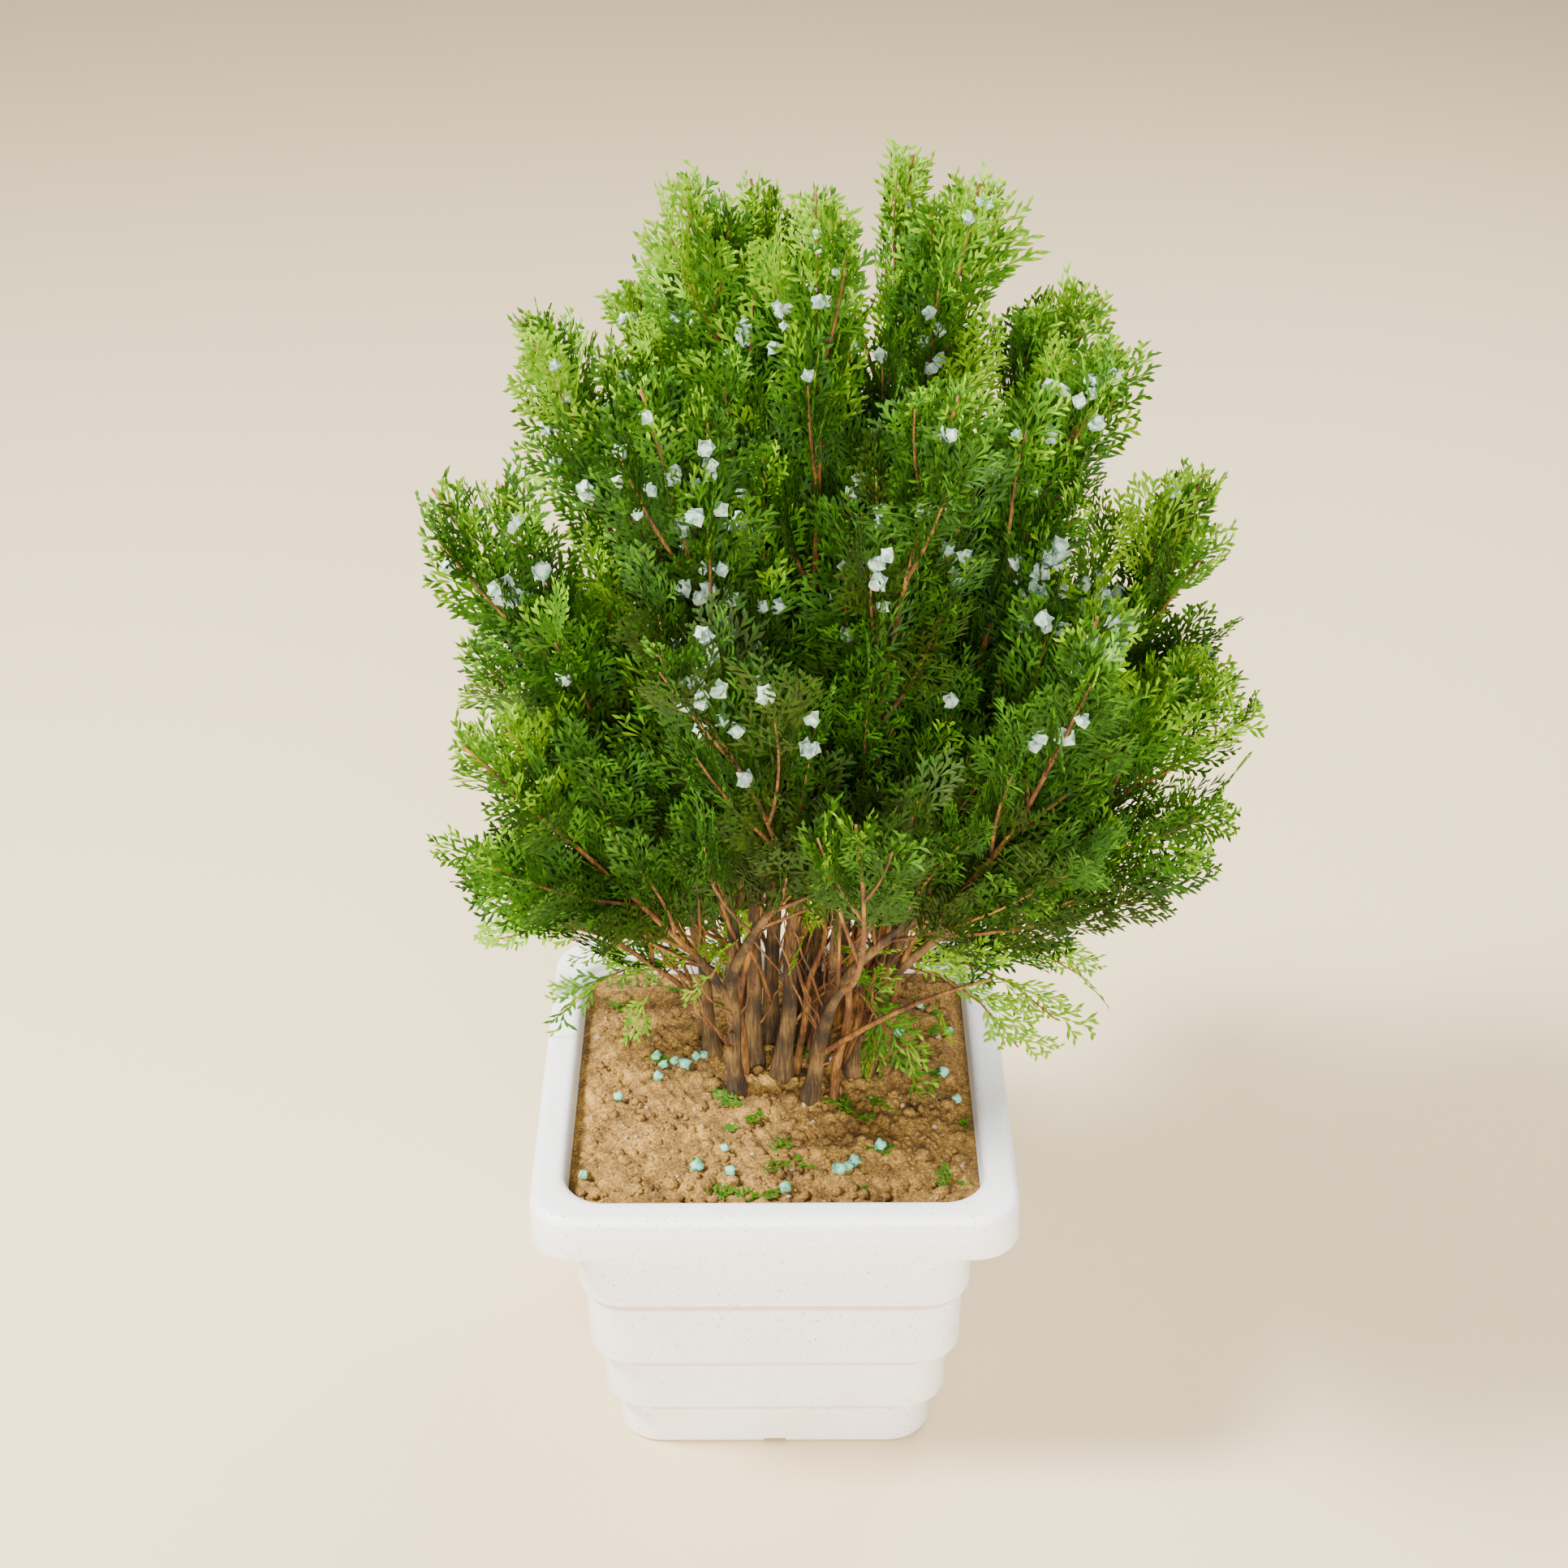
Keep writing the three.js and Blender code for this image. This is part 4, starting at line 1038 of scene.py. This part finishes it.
def cone_mesh():
    """A cone of unit half length: fleshy scales in two storeys of three, each with a hooked horn where it is
    widest. Every second one of its six sides bulges."""
    angle = np.arange(6) / 6 * 2 * pi
    heights, girth, lobes, shift = np.array([
        (-0.8, 0.52, 0.06, 0), (-0.2, 0.86, 0.13, 0), (0.28, 0.82, 0.12, pi / 3), (0.78, 0.44, 0.24, pi / 3),
    ]).T[..., None]
    rings = around(angle, girth * (1 + lobes * np.cos(3 * (angle - shift))), heights)
    for ring, first in ((1, 0), (3, 1)):
        rings[ring, first::2, :2] *= 1.2
        rings[ring, first::2, 2] += 0.16
    points, faces = loft(rings)
    points[0, 2], points[-1, 2] = -1.0, 0.74
    return points, faces


def placed_cones(places, axes, sizes, rng):
    """Cones at places, each along its own axis and turned about it by chance."""
    points, faces = cone_mesh()
    side = spoke_round(axes, rng.uniform(0, 360, len(axes)))
    own_axes = np.stack([side, np.cross(axes, side), axes], 1)
    placed = np.einsum("pk,nkd->npd", points, own_axes)
    return copies(faces, placed * sizes[:, None, None] + places[:, None])


CONE_CLUSTERS = [  # clusters of cones: where they fall in the frame, and how many fans carry them
    (880, 725, 4), (890, 770, 4), (872, 790, 4), (1290, 690, 6), (1315, 720, 7), (1345, 740, 7),
    (1370, 765, 6), (1300, 760, 5), (1270, 700, 4), (745, 607, 2), (630, 718, 3), (662, 722, 3),
    (860, 570, 3), (1045, 620, 2), (1050, 715, 2), (1160, 430, 2), (960, 425, 2), (985, 420, 1),
    (790, 310, 1), (1300, 320, 2), (1390, 560, 2), (1410, 590, 2), (1240, 615, 1), (980, 860, 1),
    (870, 855, 3), (720, 500, 1), (1460, 560, 1), (1190, 700, 2), (920, 430, 1),
]
CLUSTER_REACH = 34
FALLEN_CONES = [  # where they lie on the soil
    (83, 51), (116, 53), (110, 8), (117, -19), (-77, 22), (-72, 14), (-65, 17), (-58, 12), (-51, 19),
    (-46, 21), (-75, 0), (-100, -21), (-31, -75), (-27, -97), (-48, -87), (40, -94), (50, -85), (66, -75),
    (-118, -92), (7, -105), (46, -90), (60, 100), (-50, 104), (98, 82), (10, 108),
]
CLODS, CLIPPINGS = 1300, 46
BACK_CONES, FRONT_CONES = (190, 90), (330, 100)  # least height over the soil, and how many fans
CONE_LEAN = np.array([0.0, -160.0, 110.0])  # cones turn to their fan's open side, the light and the front


def choose_cone_fans(fans, rng):
    """Fans that carry cones: the frontmost ones at each cluster, and others dealt by chance."""
    middle = fans["root"] + fans["along"] * (fans["length"] * 0.45)[:, None]
    across, down, depth = pixels_of(middle)
    chosen = []
    for x, y, number in CONE_CLUSTERS:
        near = np.flatnonzero(np.hypot(across - x, down - y) < CLUSTER_REACH)
        chosen += list(near[np.argsort(depth[near])[:number]])
    height, behind = middle[:, 2] - SOIL_TOP, middle[:, 1] > CROWN[1]
    for (least, number), side in ((BACK_CONES, behind), (FRONT_CONES, ~behind & (fans["t"] > 0.45))):
        chosen += list(rng.choice(np.flatnonzero(side & (height > least)), number, replace=False))
    return np.array(chosen)


def make_cones(fans, material, rng):
    chosen = choose_cone_fans(fans, rng)
    chosen = np.repeat(chosen, rng.integers(1, 3, len(chosen)))
    share = (fans["root"][chosen, 2] - SOIL_TOP) / CROWN_RISE
    size = rng.uniform(4.6, 6.8, len(chosen)) * (1.15 - 0.5 * share)
    root, along, normal, length = (fans[key][chosen] for key in ("root", "along", "normal", "length"))
    across = np.cross(normal, along)
    open_side = root - (*CROWN, SOIL_TOP + CROWN_RISE / 2) + CONE_LEAN
    outward = np.where((normal * open_side).sum(1) < 0, -1.0, 1.0)[:, None]
    place = root + along * (length * rng.uniform(0.25, 0.6, len(chosen)))[:, None]
    place = place + across * (rng.uniform(-0.14, 0.14, len(chosen)) * length)[:, None]
    place = place + normal * outward * size[:, None] * 0.95
    axes = unit(along + normal * outward * 0.7 + rng.normal(0, 0.35, along.shape))
    add_piece("seed_cones", placed_cones(place, axes, size, rng), material, smooth=False)


def make_litter(edge, soil, pebble, cone, leaf, rng):
    """What lies on the soil: clods, small stones, fallen cones and clippings."""
    clods = soil_places(CLODS, edge, rng)
    sizes = rng.gamma(1.5, 1.15, CLODS) + 0.7
    add_piece("soil_clods", scatter(pebble_mesh(5), clods, sizes, rng, 0.75), soil)
    for name, seed, number, sizes, flatness, material in (
        ("soil_lumps", 7, 46, (3.5, 7.5), 0.7, soil), ("soil_stones", 6, 90, (0.9, 2.8), 0.8, pebble),
    ):
        spots = soil_places(number, edge, rng)
        shape = scatter(pebble_mesh(seed), spots, rng.uniform(*sizes, number), rng, flatness)
        add_piece(name, shape, material)
    x, y = np.array(FALLEN_CONES, float).T
    places = np.column_stack([x, y, soil_height(x, y, edge) + 3.0])
    axes = unit(rng.normal(0, 1, places.shape) * (1, 1, 0.25))
    shape = placed_cones(places, axes, rng.uniform(3.2, 4.8, len(places)), rng)
    add_piece("fallen_cones", shape, cone)
    spots = soil_places(CLIPPINGS, edge, rng)
    turn = rng.uniform(0, 2 * pi, CLIPPINGS)
    clippings = dict(
        root=spots + (0, 0, 1.0), along=around(turn, height=0.05), normal=np.tile(UP, (CLIPPINGS, 1)),
        length=rng.uniform(9, 22, CLIPPINGS), kind=rng.integers(0, FAN_KINDS, CLIPPINGS),
        curl=rng.uniform(0, 1.5, CLIPPINGS), sway=rng.uniform(-2, 2, CLIPPINGS), twist=np.zeros(CLIPPINGS),
    )
    leaves, _, _ = fan_segments(clippings)
    inside = np.abs(leaves[..., :2]).max((1, 2)) < edge - 2
    add_piece("clippings", copies(LEAF_FACES, leaves[inside]), leaf, smooth=False)


# ---- Floor and light ----

FLOOR_REACH = 9.0  # in metres, as the lights' places and sizes are
LIGHTS = (  # name, place, size and power
    ("key", (-1.8, -0.5, 2.7), 0.6, 340),
    ("fill", (0.2, -3.0, 1.3), 1.6, 210),
    ("rim", (1.0, 1.6, 2.3), 1.2, 100),
)
LIT_HEIGHT = 0.45


def make_stage():
    corners = [(x * FLOOR_REACH, y * FLOOR_REACH, 0) for x, y in ((-1, -1), (1, -1), (1, 1), (-1, 1))]
    mesh = bpy.data.meshes.new("floor")
    mesh.from_pydata(corners, [], [(0, 1, 2, 3)])
    mesh.materials.append(matt_paper("matt_paper", "#D8C39A"))
    floor = new_object("floor", mesh)
    world = bpy.data.worlds.new("studio")
    world.use_nodes = True
    background = world.node_tree.nodes["Background"].inputs
    background["Color"].default_value = (1.0, 0.97, 0.93, 1)
    background["Strength"].default_value = 0.68
    bpy.context.scene.world = world
    for name, place, size, power in LIGHTS:
        light = bpy.data.lights.new(name, "AREA")
        light.size, light.energy = size, power
        lamp = new_object(name, light)
        lamp.location = place
        way = np.array((0, 0, LIT_HEIGHT)) - np.array(place)
        flat = np.hypot(way[0], way[1])
        lamp.rotation_euler = (atan2(flat, -way[2]), 0, atan2(way[1], way[0]) - pi / 2)


# ---- The whole object ----


def main():
    rng = np.random.default_rng(11)
    masses, stems, boughs = lay_out_plant()
    loam = dry_loam("dry_loam", "#46310F", "#7F5C23", "#B68E3E")
    stone = dry_loam("weathered_stone", "#80664A", "#A98C68", "#CDB592")
    bark = stringy_bark("stringy_bark", "#241808", "#4B3414", "#7A5B2A")
    twig_bark = stringy_bark("young_bark", "#381F06", "#6A3F14", "#A07024")
    greens = [scale_leaf(f"scale_leaf_{name}", *colours) for name, colours in GREENS.items()]
    bloom = waxy_cone("waxy_cone", "#648E7C", "#B4C6AE")
    fallen = waxy_cone("waxy_cone_fallen", "#3B8A62", "#86C4A2")
    make_pot(moulded_polypropylene())
    edge = make_soil(loam)
    make_limbs(stems, boughs, bark)
    crown = Crown(masses, stems + boughs)
    fans, tubes = grow_crown(masses, stems + boughs, crown, rng)
    add_piece("twigs_bark", joined(tubes + bare_twigs(stems, rng)), twig_bark)
    make_foliage(fans, greens, rng)
    make_cones(fans, bloom, rng)
    make_litter(edge, loam, stone, fallen, greens[2], rng)
    make_stage()


main()
